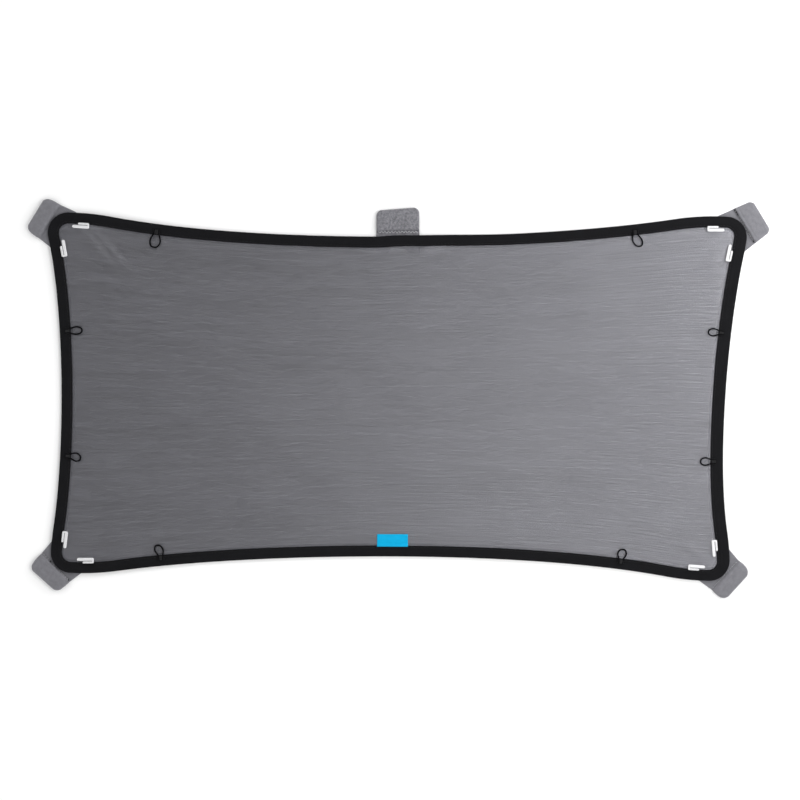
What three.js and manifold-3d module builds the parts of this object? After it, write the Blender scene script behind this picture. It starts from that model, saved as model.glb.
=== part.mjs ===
// Car side window sunshade, laid flat: a see-through knit panel in a folded elastic binding.
// Five felt pouches with magnets hold it to a steel door frame. Cord loops along its sides
// pull over small moulded hooks at its corners, which takes the panel in to fit a smaller window.
// Millimetres, +Z up, the panel's length along X.

import * as THREE from "three";
import { mergeVertices } from "three/addons/utils/BufferGeometryUtils.js";
import Module from "manifold-3d";

const wasm = await Module();
wasm.setup();

// Panel, outside the binding, before the elastic draws its corners in
const PANEL_LENGTH = 668.5;
const PANEL_HEIGHT = 360.5;
const CORNER_RADIUS = 19.5;
const SHOULDER_RADIUS = 240;
const SIDE_HANDLE = 0.267;

// Corners in turn from the lower left, anticlockwise. drawnIn is how far each one is pulled in
// along X and Y. The rest holds one value for the side that arrives and one for the side that
// leaves. tight is how far in degrees the corner's arc runs past a quarter turn, and shoulder is
// how far the gentle arc beside it turns on. hooks and loops lie at a distance from the corner's
// arc. pouchTurn and pouchStandout place the corner's pouch.
const CORNERS = [
  {
    name: "bottom_left",
    drawnIn: [3.3, 16.4],
    tight: [3.1, -3.1],
    shoulder: [5.5, 10.6],
    pouchTurn: 224,
    pouchStandout: 18.4,
    hooks: [12.4, 14.7],
    loops: [
      { distance: 91.4, reach: 9, width: 7.4, skew: 1.3 },
      { distance: 87.3, reach: 9.4, width: 7.6, skew: 2.1 },
    ],
  },
  {
    name: "bottom_right",
    drawnIn: [19.9, 8.8],
    tight: [0.9, 1.7],
    shoulder: [9.7, 6.4],
    pouchTurn: 317.5,
    pouchStandout: 17.3,
    hooks: [12.9, 12],
    loops: [
      { distance: 85.6, reach: 8.6, width: 7.9, skew: 0.7 },
      { distance: 93.6, reach: 9.3, width: 7, skew: 0 },
    ],
  },
  {
    name: "top_right",
    drawnIn: [3.6, 5.5],
    tight: [8.6, -3.4],
    shoulder: [3.6, 11.9],
    pouchTurn: 31.1,
    pouchStandout: 20,
    hooks: [15.5, 11.3],
    loops: [
      { distance: 90.4, reach: 9.5, width: 6.8, skew: -0.5 },
      { distance: 89.3, reach: 10.8, width: 8.6, skew: 2.8 },
    ],
  },
  {
    name: "top_left",
    drawnIn: [0.4, 1.5],
    tight: [0.8, 10.6],
    shoulder: [9.8, 1.1],
    pouchTurn: 148.6,
    pouchStandout: 17.2,
    hooks: [12.6, 13.6],
    loops: [
      { distance: 85.5, reach: 12, width: 9.5, skew: 0.6 },
      { distance: 90.8, reach: 10.7, width: 7, skew: 0 },
    ],
  },
];

// Sides in turn, each leaving the corner of the same place in the list
const SIDE_NAMES = ["bottom", "right", "top", "left"];
const BINDING_WIDTHS = [10.5, 12.2, 10.5, 10.6];
const ARC_STEPS = 8;
const SIDE_STEPS = 24;
const ROUNDING_STEPS = 2;
const CURVE_STEPS = 4;

// How far a cutting solid stands past what it cuts
const CUT_MARGIN = 1;

// Heights of the layers
const CLEARANCE = 0.25;
const TAPE_THICKNESS = 0.6;
const KNIT_THICKNESS = 0.45;
const COURSE_PITCH = 4.2;
const COURSE_DEPTH = 0.12;
const FOLD_THICKNESS = 1.5;
const BACK_LAYER_EXTRA = 2;

// Pouches and magnets. A pouch's flap runs from FLAP_START, measured from the corner's centre,
// and reaches FLAP_TUCK in under the binding.
const FELT_THICKNESS = 0.5;
const SLIT_HEIGHT = 0.25;
const MAGNET = { depth: 12, width: 30, thickness: 3, cornerRadius: 2 };
const MAGNET_CLEARANCE = 0.3;
const SEAM_FROM_BINDING = 1.4;
const TOP_POUCH_DEPTH = 20.4;
const CORNER_POUCH_WIDTH = 34;
const TOP_POUCH_WIDTH = 40;
const TOP_POUCH_STANDOUT = 26.4;
const CORNER_POUCH_FLARE = 0.12;
const TOP_POUCH_FLARE = 0.02;
const POUCH_CORNER_RADIUS = 5;
const POUCH_ROUNDING = 1.5;
const FLAP_OVERLAP = 3;
const FLAP_TUCK = 8.5;
const FLAP_START = 4;

// Hooks
const HOOK_LENGTH = 16;
const HOOK_BAR_LENGTH = 10.6;
const HOOK_PRONG_WIDTH = 2.8;
const HOOK_BAR_WIDTH = 1.9;
const HOOK_GROOVE = 0.5;
const HOOK_THICKNESS = 2.2;
const HOOK_ON_BINDING = 1;
const HOOK_STEP_IN = 0.9;
const HOOK_ROUNDING = 0.25;
const HOOK_BACK_RADIUS = 1.2;

// Cord loops
const CORD_DIAMETER = 1.4;
const CORD_SIDES = 8;
const CORD_STEPS = 14;
const CORD_SEWN_LENGTH = 5;
const CORD_FOOT_SHARE = 0.45;

// Label
const LABEL = { length: 29.4, height: 11.2, thickness: 0.4, fromMiddle: 2.4 };

// Levels worked out from the layers, from the surface up
const FLAP_TOP = 2 * FELT_THICKNESS + SLIT_HEIGHT;
const POUCH_THICKNESS = 2 * (FELT_THICKNESS + MAGNET_CLEARANCE) + MAGNET.thickness;
const BINDING_BOTTOM = FLAP_TOP + CLEARANCE;
const SLOT_BOTTOM = BINDING_BOTTOM + TAPE_THICKNESS;
const KNIT_BOTTOM = SLOT_BOTTOM + CLEARANCE;
const KNIT_TOP = KNIT_BOTTOM + KNIT_THICKNESS;
const SLOT_TOP = KNIT_TOP + CLEARANCE;
const BINDING_TOP = SLOT_TOP + TAPE_THICKNESS;

const MATERIALS = {
  knit: { color: 0x6c6d72, roughness: 0.85, metalness: 0, transparent: true, opacity: 0.7 },
  tape: { color: 0x1c1c20, roughness: 0.9, metalness: 0 },
  felt: { color: 0x85858b, roughness: 0.95, metalness: 0 },
  magnet: { color: 0xb9bbc0, roughness: 0.3, metalness: 1 },
  cord: { color: 0x0d0d10, roughness: 0.8, metalness: 0 },
  plastic: { color: 0xf0f0f2, roughness: 0.4, metalness: 0 },
  label: { color: 0x0fabdc, roughness: 0.7, metalness: 0 },
};

// Solids: a closed mesh becomes a manifold to be joined or cut, and comes back as a geometry

function toSolid(geometry) {
  const bare = geometry.clone();
  bare.deleteAttribute("normal");
  bare.deleteAttribute("uv");
  const merged = mergeVertices(bare, 1e-4);
  return new wasm.Manifold(
    new wasm.Mesh({
      numProp: 3,
      vertProperties: new Float32Array(merged.attributes.position.array),
      triVerts: new Uint32Array(merged.index.array),
    }),
  );
}

function toGeometry(solid) {
  const mesh = solid.getMesh();
  const geometry = new THREE.BufferGeometry();
  geometry.setAttribute("position", new THREE.BufferAttribute(mesh.vertProperties, 3));
  geometry.setIndex(new THREE.BufferAttribute(mesh.triVerts, 1));
  geometry.computeVertexNormals();
  return geometry;
}

// A flat outline raised from one level to another, its edges rounded where asked
function raise(outline, bottom, top, rounding = 0) {
  const shape = outline instanceof THREE.Shape ? outline : new THREE.Shape(outline);
  const geometry = new THREE.ExtrudeGeometry(shape, {
    depth: top - bottom - 2 * rounding,
    bevelEnabled: rounding > 0,
    bevelThickness: rounding,
    bevelSize: rounding,
    bevelOffset: -rounding,
    bevelSegments: ROUNDING_STEPS,
    curveSegments: CURVE_STEPS,
  });
  return geometry.translate(0, 0, bottom + rounding);
}

// A polygon whose corners are rounded by one radius
function roundedPolygon(corners, radius) {
  const shape = new THREE.Shape();
  corners.forEach((corner, index) => {
    const before = corners[(index + corners.length - 1) % corners.length];
    const after = corners[(index + 1) % corners.length];
    const start = corner.clone().add(before.clone().sub(corner).setLength(radius));
    const end = corner.clone().add(after.clone().sub(corner).setLength(radius));
    if (index === 0) shape.moveTo(start.x, start.y);
    else shape.lineTo(start.x, start.y);
    shape.quadraticCurveTo(corner.x, corner.y, end.x, end.y);
  });
  shape.closePath();
  return shape;
}

function rectangle(x0, y0, x1, y1) {
  return [
    new THREE.Vector2(x0, y0),
    new THREE.Vector2(x1, y0),
    new THREE.Vector2(x1, y1),
    new THREE.Vector2(x0, y1),
  ];
}

// Outline of the binding's outer edge: a tight arc at each corner, a gentle one on each side of
// it, and sides that bow inwards between them

function cornerArc(index) {
  const corner = CORNERS[index];
  const towardsX = index === 1 || index === 2 ? 1 : -1;
  const towardsY = index >= 2 ? 1 : -1;
  return {
    centre: new THREE.Vector2(
      towardsX * (PANEL_LENGTH / 2 - CORNER_RADIUS - corner.drawnIn[0]),
      towardsY * (PANEL_HEIGHT / 2 - CORNER_RADIUS - corner.drawnIn[1]),
    ),
    start: THREE.MathUtils.degToRad(180 + 90 * index - corner.tight[0]),
    end: THREE.MathUtils.degToRad(270 + 90 * index + corner.tight[1]),
  };
}

const ARCS = CORNERS.map((_, index) => cornerArc(index));

function outwardsAt(angle) {
  return new THREE.Vector2(Math.cos(angle), Math.sin(angle));
}

function directionAt(angle) {
  return new THREE.Vector2(-Math.sin(angle), Math.cos(angle));
}

// The gentle arc that meets a corner's arc at one of its ends, running between two angles
function shoulder(arc, meeting, from, to) {
  const centre = arc.centre.clone();
  centre.addScaledVector(outwardsAt(meeting), CORNER_RADIUS - SHOULDER_RADIUS);
  const radius = SHOULDER_RADIUS;
  return new THREE.EllipseCurve(centre.x, centre.y, radius, radius, from, to, false);
}

function sideCurve(index) {
  const next = (index + 1) % CORNERS.length;
  const meets = ARCS[index].end;
  const nextMeets = ARCS[next].start;
  const leaves = meets + THREE.MathUtils.degToRad(CORNERS[index].shoulder[1]);
  const arrives = nextMeets - THREE.MathUtils.degToRad(CORNERS[next].shoulder[0]);
  const first = shoulder(ARCS[index], meets, meets, leaves);
  const last = shoulder(ARCS[next], nextMeets, arrives, nextMeets);
  const start = first.getPoint(1);
  const end = last.getPoint(0);
  const handle = SIDE_HANDLE * start.distanceTo(end);
  const middle = new THREE.CubicBezierCurve(
    start,
    start.clone().addScaledVector(directionAt(leaves), handle),
    end.clone().addScaledVector(directionAt(arrives), -handle),
    end,
  );
  const side = new THREE.CurvePath();
  [first, middle, last].forEach((curve) => side.add(curve));
  return side;
}

const SIDES = CORNERS.map((_, index) => sideCurve(index));

// Points round the outer edge, each with the direction inwards and the binding's width there
function edgePoints() {
  const points = [];
  for (let index = 0; index < CORNERS.length; index++) {
    const arc = ARCS[index];
    const arriving = BINDING_WIDTHS[(index + 3) % 4];
    const leaving = BINDING_WIDTHS[index];
    for (let step = 0; step < ARC_STEPS; step++) {
      const share = step / ARC_STEPS;
      const angle = THREE.MathUtils.lerp(arc.start, arc.end, share);
      points.push({
        at: arc.centre.clone().addScaledVector(outwardsAt(angle), CORNER_RADIUS),
        inwards: outwardsAt(angle).negate(),
        width: THREE.MathUtils.lerp(arriving, leaving, share),
      });
    }
    for (let step = 0; step < SIDE_STEPS; step++) {
      const along = SIDES[index].getTangentAt(step / SIDE_STEPS);
      points.push({
        at: SIDES[index].getPointAt(step / SIDE_STEPS),
        inwards: new THREE.Vector2(-along.y, along.x),
        width: leaving,
      });
    }
  }
  return points;
}

const EDGE = edgePoints();

// The outline moved inwards, by a distance that may depend on the binding's width
function insetOutline(inset) {
  return EDGE.map(({ at, inwards, width }) => {
    const distance = typeof inset === "function" ? inset(width) : inset;
    return at.clone().addScaledVector(inwards, distance);
  });
}

// A place on the binding's inner edge. X runs towards the corner, Y away from the binding
// across the knit, or towards it where the frame has to be turned over.
function placeOnSide(side, distance, fromStart) {
  const curve = SIDES[side];
  const share = distance / curve.getLength();
  const at = curve.getPointAt(fromStart ? share : 1 - share);
  const along = curve.getTangentAt(fromStart ? share : 1 - share);
  const inwards = new THREE.Vector2(-along.y, along.x);
  const place = new THREE.Group();
  at.addScaledVector(inwards, BINDING_WIDTHS[side]);
  place.position.set(at.x, at.y, 0);
  place.rotation.z = Math.atan2(along.y, along.x) + (fromStart ? Math.PI : 0);
  return { place, across: fromStart ? -1 : 1 };
}

// Binding: a tape folded over the knit's edge, its section carried round the outline
function edgeBinding() {
  const middle = (BINDING_BOTTOM + BINDING_TOP) / 2;
  const lip = TAPE_THICKNESS / 2;
  const fold = FOLD_THICKNESS / 4;
  const section = [
    [(width) => width, SLOT_TOP],
    [(width) => width, BINDING_TOP - lip],
    [(width) => width - lip, BINDING_TOP],
    [() => FOLD_THICKNESS, BINDING_TOP],
    [() => fold, BINDING_TOP - lip],
    [() => 0, middle],
    [() => fold, BINDING_BOTTOM + lip],
    [() => FOLD_THICKNESS, BINDING_BOTTOM],
    [(width) => width + BACK_LAYER_EXTRA - lip, BINDING_BOTTOM],
    [(width) => width + BACK_LAYER_EXTRA, BINDING_BOTTOM + lip],
    [(width) => width + BACK_LAYER_EXTRA, SLOT_BOTTOM],
    [() => FOLD_THICKNESS, SLOT_BOTTOM],
    [() => FOLD_THICKNESS, SLOT_TOP],
  ];
  const positions = section.flatMap(([inset, height]) =>
    insetOutline(inset).flatMap((point) => [point.x, point.y, height]),
  );
  const faces = [];
  const round = EDGE.length;
  for (let row = 0; row < section.length; row++) {
    const nextRow = (row + 1) % section.length;
    for (let column = 0; column < round; column++) {
      const nextColumn = (column + 1) % round;
      const corners = [
        row * round + column,
        row * round + nextColumn,
        nextRow * round + nextColumn,
        nextRow * round + column,
      ];
      faces.push(corners[0], corners[2], corners[1], corners[0], corners[3], corners[2]);
    }
  }
  const geometry = new THREE.BufferGeometry();
  geometry.setAttribute("position", new THREE.Float32BufferAttribute(positions, 3));
  geometry.setIndex(faces);
  geometry.computeVertexNormals();
  return geometry;
}

// Knit: a sheet whose upper face has a low ridge for each course, cut to the binding's fold
function knitScreen() {
  const half = PANEL_HEIGHT / 2;
  const courses = Math.ceil(PANEL_HEIGHT / COURSE_PITCH);
  const profile = [new THREE.Vector2(-half, 0)];
  profile.push(new THREE.Vector2(courses * COURSE_PITCH - half, 0));
  for (let course = courses; course > 0; course--) {
    const y = course * COURSE_PITCH - half;
    profile.push(new THREE.Vector2(y, KNIT_THICKNESS - COURSE_DEPTH));
    profile.push(new THREE.Vector2(y - COURSE_PITCH / 2, KNIT_THICKNESS));
  }
  profile.push(new THREE.Vector2(-half, KNIT_THICKNESS - COURSE_DEPTH));
  const sheet = new THREE.ExtrudeGeometry(new THREE.Shape(profile), {
    depth: PANEL_LENGTH,
    bevelEnabled: false,
  });
  const layDown = new THREE.Matrix4().makeBasis(
    new THREE.Vector3(0, 1, 0),
    new THREE.Vector3(0, 0, 1),
    new THREE.Vector3(1, 0, 0),
  );
  sheet.applyMatrix4(layDown).translate(-PANEL_LENGTH / 2, 0, KNIT_BOTTOM);
  const cut = insetOutline(FOLD_THICKNESS + CLEARANCE);
  const within = raise(cut, KNIT_BOTTOM - CUT_MARGIN, KNIT_TOP + CUT_MARGIN);
  return toGeometry(toSolid(sheet).intersect(toSolid(within)));
}

// Pouch: felt folded over a magnet and sewn shut beside it. Its two layers run on as a flap
// that lies under the binding. Its own frame has X outwards from the corner's centre.
function pouchOutline(from, to, reach, { endWidth, flare }) {
  const halfWidthAt = (x) => endWidth / 2 + (reach - x) * flare;
  return [
    new THREE.Vector2(from, -halfWidthAt(from)),
    new THREE.Vector2(to, -halfWidthAt(to)),
    new THREE.Vector2(to, halfWidthAt(to)),
    new THREE.Vector2(from, halfWidthAt(from)),
  ];
}

function magnetPouch(place, size) {
  const { standout, depth } = size;
  const reach = CORNER_RADIUS + standout;
  const seam = reach - depth;
  const bodyOutline = roundedPolygon(pouchOutline(seam, reach, reach, size), POUCH_CORNER_RADIUS);
  const body = raise(bodyOutline, 0, POUCH_THICKNESS, POUCH_ROUNDING);
  const flapOutline = pouchOutline(FLAP_START, seam + FLAP_OVERLAP, reach, size);
  const flap = raise(flapOutline, 0, FLAP_TOP);
  const pocketHalf = MAGNET.width / 2 + MAGNET_CLEARANCE;
  const magnetMiddle = reach - depth / 2;
  const pocketReach = MAGNET.depth / 2 + MAGNET_CLEARANCE;
  const pocket = raise(
    rectangle(magnetMiddle - pocketReach, -pocketHalf, magnetMiddle + pocketReach, pocketHalf),
    FELT_THICKNESS,
    POUCH_THICKNESS - FELT_THICKNESS,
  );
  const slit = raise(
    rectangle(FLAP_START - FLAP_OVERLAP, -pocketHalf, magnetMiddle, pocketHalf),
    FELT_THICKNESS,
    FELT_THICKNESS + SLIT_HEIGHT,
  );
  place.updateMatrixWorld(true);
  const trim = raise(insetOutline(FLAP_TUCK), -CUT_MARGIN, FLAP_TOP + CUT_MARGIN);
  trim.applyMatrix4(place.matrixWorld.clone().invert());
  const sewn = toSolid(body).add(toSolid(flap).subtract(toSolid(trim)));
  return toGeometry(sewn.subtract(toSolid(pocket)).subtract(toSolid(slit)));
}

function magnetBlock({ standout, depth }) {
  const middle = CORNER_RADIUS + standout - depth / 2;
  const outline = roundedPolygon(
    rectangle(
      middle - MAGNET.depth / 2,
      -MAGNET.width / 2,
      middle + MAGNET.depth / 2,
      MAGNET.width / 2,
    ),
    MAGNET.cornerRadius,
  );
  const bottom = FELT_THICKNESS + MAGNET_CLEARANCE;
  return raise(outline, bottom, bottom + MAGNET.thickness);
}

// Hook: a short bar sewn on the binding's inner edge and a longer prong beside it over the
// knit. They join at the end away from the corner, so the mouth between them faces the corner.
function hookOutline(across) {
  const back = -HOOK_LENGTH / 2;
  const barEdge = -HOOK_ON_BINDING;
  const barRadius = HOOK_BAR_WIDTH / 2;
  const barEnd = back + HOOK_BAR_LENGTH - barRadius;
  const prongEdge = barEdge + HOOK_BAR_WIDTH + HOOK_GROOVE;
  const prongRadius = HOOK_PRONG_WIDTH / 2;
  const farEdge = prongEdge + HOOK_PRONG_WIDTH;
  const quarter = Math.PI / 2;
  const shape = new THREE.Shape();
  shape.moveTo(back + HOOK_BACK_RADIUS, barEdge);
  shape.lineTo(barEnd, barEdge);
  shape.absarc(barEnd, barEdge + barRadius, barRadius, -quarter, quarter, false);
  shape.lineTo(back + HOOK_BAR_WIDTH, prongEdge - HOOK_GROOVE);
  shape.lineTo(back + HOOK_BAR_WIDTH, prongEdge);
  shape.lineTo(-back - prongRadius, prongEdge);
  shape.absarc(-back - prongRadius, prongEdge + prongRadius, prongRadius, -quarter, quarter, false);
  shape.lineTo(back + HOOK_BACK_RADIUS, farEdge);
  shape.quadraticCurveTo(back, farEdge, back, farEdge - HOOK_BACK_RADIUS);
  shape.lineTo(back, barEdge + HOOK_BACK_RADIUS);
  shape.quadraticCurveTo(back, barEdge, back + HOOK_BACK_RADIUS, barEdge);
  const points = shape.getPoints(CURVE_STEPS).slice(0, -1);
  return points.map(({ x, y }) => new THREE.Vector2(x, across * y));
}

function hook(across) {
  const bottom = KNIT_TOP + CLEARANCE;
  const whole = raise(hookOutline(across), bottom, bottom + HOOK_THICKNESS, HOOK_ROUNDING);
  const side = -across * HOOK_LENGTH;
  const overBinding = rectangle(-HOOK_LENGTH, Math.min(0, side), HOOK_LENGTH, Math.max(0, side));
  const room = raise(overBinding, 0, BINDING_TOP + CLEARANCE);
  room.translate(0, across * HOOK_STEP_IN, 0);
  return toGeometry(toSolid(whole).subtract(toSolid(room)));
}

// Cord loop: both ends are sewn on the binding, and the loop lies out over the knit
function loopRoute({ reach, width, skew }, across) {
  const onBinding = BINDING_TOP + CLEARANCE + CORD_DIAMETER / 2;
  const onKnit = KNIT_TOP + CLEARANCE + CORD_DIAMETER / 2;
  const foot = (CORD_FOOT_SHARE * width) / 2;
  const half = [
    [foot, -CORD_SEWN_LENGTH, onBinding],
    [foot, -CORD_SEWN_LENGTH / 2, onBinding],
    [foot + (width / 2 - foot) * 0.4, CORD_DIAMETER / 2, onBinding],
    [width / 2, 0.45 * reach, (onBinding + onKnit) / 2],
    [width * 0.47, 0.7 * reach, onKnit],
    [width * 0.28, 0.94 * reach, onKnit],
  ];
  const tip = [0, reach, onKnit];
  const mirrored = half.map(([x, y, z]) => [-x, y, z]).reverse();
  return [...half, tip, ...mirrored].map(
    ([x, y, z]) => new THREE.Vector3(x + (skew * Math.max(0, y)) / reach, across * y, z),
  );
}

function cordLoop(size, across) {
  const route = new THREE.CatmullRomCurve3(loopRoute(size, across), false, "centripetal");
  const section = new THREE.Shape();
  for (let side = 0; side < CORD_SIDES; side++) {
    const angle = ((side + 0.5) / CORD_SIDES) * 2 * Math.PI;
    const x = (CORD_DIAMETER / 2) * Math.cos(angle);
    const y = (CORD_DIAMETER / 2) * Math.sin(angle);
    if (side === 0) section.moveTo(x, y);
    else section.lineTo(x, y);
  }
  section.closePath();
  return new THREE.ExtrudeGeometry(section, {
    steps: CORD_STEPS,
    extrudePath: route,
    bevelEnabled: false,
  });
}

function label(across) {
  const geometry = new THREE.BoxGeometry(LABEL.length, LABEL.height, LABEL.thickness);
  const height = KNIT_TOP + CLEARANCE + LABEL.thickness / 2;
  return geometry.translate(0, across * (CLEARANCE + LABEL.height / 2), height);
}

// Assembly

const shade = new THREE.Group();

function addPiece(name, geometry, material, place = shade) {
  const mesh = new THREE.Mesh(geometry, new THREE.MeshStandardMaterial(MATERIALS[material]));
  mesh.name = name;
  place.add(mesh);
}

function addPouch(name, place, size) {
  shade.add(place);
  addPiece(`magnet_pouch_${name}`, magnetPouch(place, size), "felt", place);
  addPiece(`magnet_${name}`, magnetBlock(size), "magnet", place);
}

addPiece("mesh_screen", knitScreen(), "knit");
addPiece("edge_binding", edgeBinding(), "tape");

CORNERS.forEach((corner, index) => {
  const place = new THREE.Group();
  place.position.set(ARCS[index].centre.x, ARCS[index].centre.y, 0);
  place.rotation.z = THREE.MathUtils.degToRad(corner.pouchTurn);
  addPouch(corner.name, place, {
    standout: corner.pouchStandout,
    depth: corner.pouchStandout - SEAM_FROM_BINDING,
    endWidth: CORNER_POUCH_WIDTH,
    flare: CORNER_POUCH_FLARE,
  });
});

const topMiddle = SIDES[2].getPointAt(0.5);
const topPlace = new THREE.Group();
topPlace.position.set(topMiddle.x, topMiddle.y - CORNER_RADIUS, 0);
topPlace.rotation.z = Math.PI / 2;
addPouch("top_centre", topPlace, {
  standout: TOP_POUCH_STANDOUT,
  depth: TOP_POUCH_DEPTH,
  endWidth: TOP_POUCH_WIDTH,
  flare: TOP_POUCH_FLARE,
});

CORNERS.forEach((corner, index) => {
  [(index + 3) % 4, index].forEach((side, leaving) => {
    const suffix = `${corner.name}_on_${SIDE_NAMES[side]}`;
    const hookSpot = placeOnSide(side, corner.hooks[leaving], leaving === 1);
    addPiece(`hook_${suffix}`, hook(hookSpot.across), "plastic", hookSpot.place);
    const size = corner.loops[leaving];
    const loopSpot = placeOnSide(side, size.distance, leaving === 1);
    addPiece(`cord_loop_${suffix}`, cordLoop(size, loopSpot.across), "cord", loopSpot.place);
    shade.add(hookSpot.place, loopSpot.place);
  });
});

const labelSpot = placeOnSide(0, SIDES[0].getLength() / 2 - LABEL.fromMiddle, false);
addPiece("label", label(labelSpot.across), "label", labelSpot.place);
shade.add(labelSpot.place);

// The origin is on the surface under the middle of the whole shade
const extent = new THREE.Box3().setFromObject(shade);
const centre = extent.getCenter(new THREE.Vector3());
shade.position.set(-centre.x, -centre.y, -extent.min.z);

const sunshade = new THREE.Group();
sunshade.add(shade);

export default sunshade;
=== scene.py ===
"""Car side window sunshade lying on a pale floor, seen from straight above.

A thin open knit is held in a folded black elastic binding. Felt pouches with magnets stand out
at the corners and over the top edge. Cord loops and small moulded hooks take the shade in.

Lengths inside the functions are millimetres in the shade's own frame, whose origin is the
middle of the panel before its corners are drawn in. to_row turns them into metres in the row
frame. Properties are metres, as Blender's own are.
"""

import math

import bmesh
import bpy
import numpy as np
from bpy.props import FloatProperty, FloatVectorProperty, IntProperty, PointerProperty
from bpy.types import Operator, Panel, PropertyGroup
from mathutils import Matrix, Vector


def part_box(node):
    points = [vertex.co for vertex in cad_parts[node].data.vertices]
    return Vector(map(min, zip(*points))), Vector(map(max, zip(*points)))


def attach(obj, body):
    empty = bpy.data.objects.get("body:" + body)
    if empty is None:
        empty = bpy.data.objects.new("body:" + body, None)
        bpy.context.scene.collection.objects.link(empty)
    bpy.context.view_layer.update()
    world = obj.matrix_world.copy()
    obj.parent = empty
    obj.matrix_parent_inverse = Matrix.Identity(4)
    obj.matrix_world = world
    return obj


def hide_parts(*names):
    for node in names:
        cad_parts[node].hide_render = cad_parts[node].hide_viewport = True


bl_info = {
    "name": "Window Sunshade",
    "version": (1, 0, 0),
    "blender": (4, 5, 0),
    "location": "View3D > Sidebar > Sunshade",
    "description": "Knit, tape, felt, cord and moulded pieces of a car side window sunshade",
    "category": "Object",
}

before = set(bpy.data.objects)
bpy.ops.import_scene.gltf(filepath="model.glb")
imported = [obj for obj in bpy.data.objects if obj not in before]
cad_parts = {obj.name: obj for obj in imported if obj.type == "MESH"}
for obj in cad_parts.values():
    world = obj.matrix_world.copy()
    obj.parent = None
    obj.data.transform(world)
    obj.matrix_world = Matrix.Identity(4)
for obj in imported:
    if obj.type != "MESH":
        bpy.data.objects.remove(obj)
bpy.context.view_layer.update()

MM = 0.001

# Panel, outside the binding, before the elastic draws its corners in
PANEL = np.array([668.5, 360.5])
CORNER_RADIUS = 19.5
SHOULDER_RADIUS = 240.0
SIDE_HANDLE = 0.267

# Corners in turn from the lower left, anticlockwise. drawn_in, tight, shoulder, hooks, loops and
# the pouch's turn and standout are the sizes of the solids. The rest says how the felt lies: how
# far a pouch's outer end slides sideways and its sides bow out, how deep its seam is and over what
# run its body rises from the flap, and where dark knots of thread sit in the seam. Angles are in
# degrees, and a knot's place is a share of the pouch's half width.
CORNERS = [
    {
        "name": "bottom_left",
        "drawn_in": (3.3, 16.4),
        "tight": (3.1, -3.1),
        "shoulder": (5.5, 10.6),
        "pouch": {"turn": 224.0, "standout": 18.4, "skew": -0.9, "bow": 0.7},
        "seam": {"seam_depth": 0.5, "rise_run": 0.9},
        "knots": (-0.42, 0.93),
        "hooks": (12.4, 14.7),
        "loops": (
            {"distance": 91.4, "reach": 9, "width": 7.4, "skew": 1.3},
            {"distance": 87.3, "reach": 9.4, "width": 7.6, "skew": 2.1},
        ),
    },
    {
        "name": "bottom_right",
        "drawn_in": (19.9, 8.8),
        "tight": (0.9, 1.7),
        "shoulder": (9.7, 6.4),
        "pouch": {"turn": 317.5, "standout": 17.3, "skew": 0.0, "bow": 1.2},
        "seam": {"seam_depth": 0.3, "rise_run": 2.0},
        "knots": (),
        "hooks": (12.9, 12),
        "loops": (
            {"distance": 85.6, "reach": 8.6, "width": 7.9, "skew": 0.7},
            {"distance": 93.6, "reach": 9.3, "width": 7, "skew": 0},
        ),
    },
    {
        "name": "top_right",
        "drawn_in": (3.6, 5.5),
        "tight": (8.6, -3.4),
        "shoulder": (3.6, 11.9),
        "pouch": {"turn": 31.1, "standout": 20.0, "skew": 0.0, "bow": 0.0},
        "seam": {"seam_depth": 0.9, "rise_run": 0.6},
        "knots": (0.95, 0.83, 0.7, -0.9),
        "hooks": (15.5, 11.3),
        "loops": (
            {"distance": 90.4, "reach": 9.5, "width": 6.8, "skew": -0.5},
            {"distance": 89.3, "reach": 10.8, "width": 8.6, "skew": 2.8},
        ),
    },
    {
        "name": "top_left",
        "drawn_in": (0.4, 1.5),
        "tight": (0.8, 10.6),
        "shoulder": (9.8, 1.1),
        "pouch": {"turn": 148.6, "standout": 17.2, "skew": 0.0, "bow": 0.7},
        "seam": {"seam_depth": 0.0, "rise_run": 1.9},
        "knots": (),
        "hooks": (12.6, 13.6),
        "loops": (
            {"distance": 85.5, "reach": 12, "width": 9.5, "skew": 0.6},
            {"distance": 90.8, "reach": 10.7, "width": 7, "skew": 0},
        ),
    },
]
SIDE_NAMES = ("bottom", "right", "top", "left")
BINDING_WIDTHS = (10.5, 12.2, 10.5, 10.6)

# Heights of the layers above the floor
CLEARANCE = 0.25
TAPE_THICKNESS = 0.6
KNIT_THICKNESS = 0.45
COURSE_BAND = 4.2
COURSE_DEPTH = 0.07
FOLD_THICKNESS = 1.5
BACK_LAYER_EXTRA = 2.0
FLAP_TOP = 1.25
POUCH_TOP = 4.6
BINDING_BOTTOM = FLAP_TOP + CLEARANCE
SLOT_BOTTOM = BINDING_BOTTOM + TAPE_THICKNESS
KNIT_BOTTOM = SLOT_BOTTOM + CLEARANCE
KNIT_TOP = KNIT_BOTTOM + KNIT_THICKNESS
SLOT_TOP = KNIT_TOP + CLEARANCE
BINDING_TOP = SLOT_TOP + TAPE_THICKNESS

# Pouches
SEAM_FROM_BINDING = 1.4
CORNER_POUCH_WIDTH = 34.0
TOP_POUCH_WIDTH = 40.0
TOP_POUCH_STANDOUT = 26.4
TOP_POUCH_DEPTH = 20.4
CORNER_POUCH_FLARE = 0.12
TOP_POUCH_FLARE = 0.02
FLAP_START = 4.0
FLAP_HIDDEN = 1.5
POUCH_CORNER_RADIUS = 5.0
MAGNET_SIZE = (12.0, 30.0)

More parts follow.
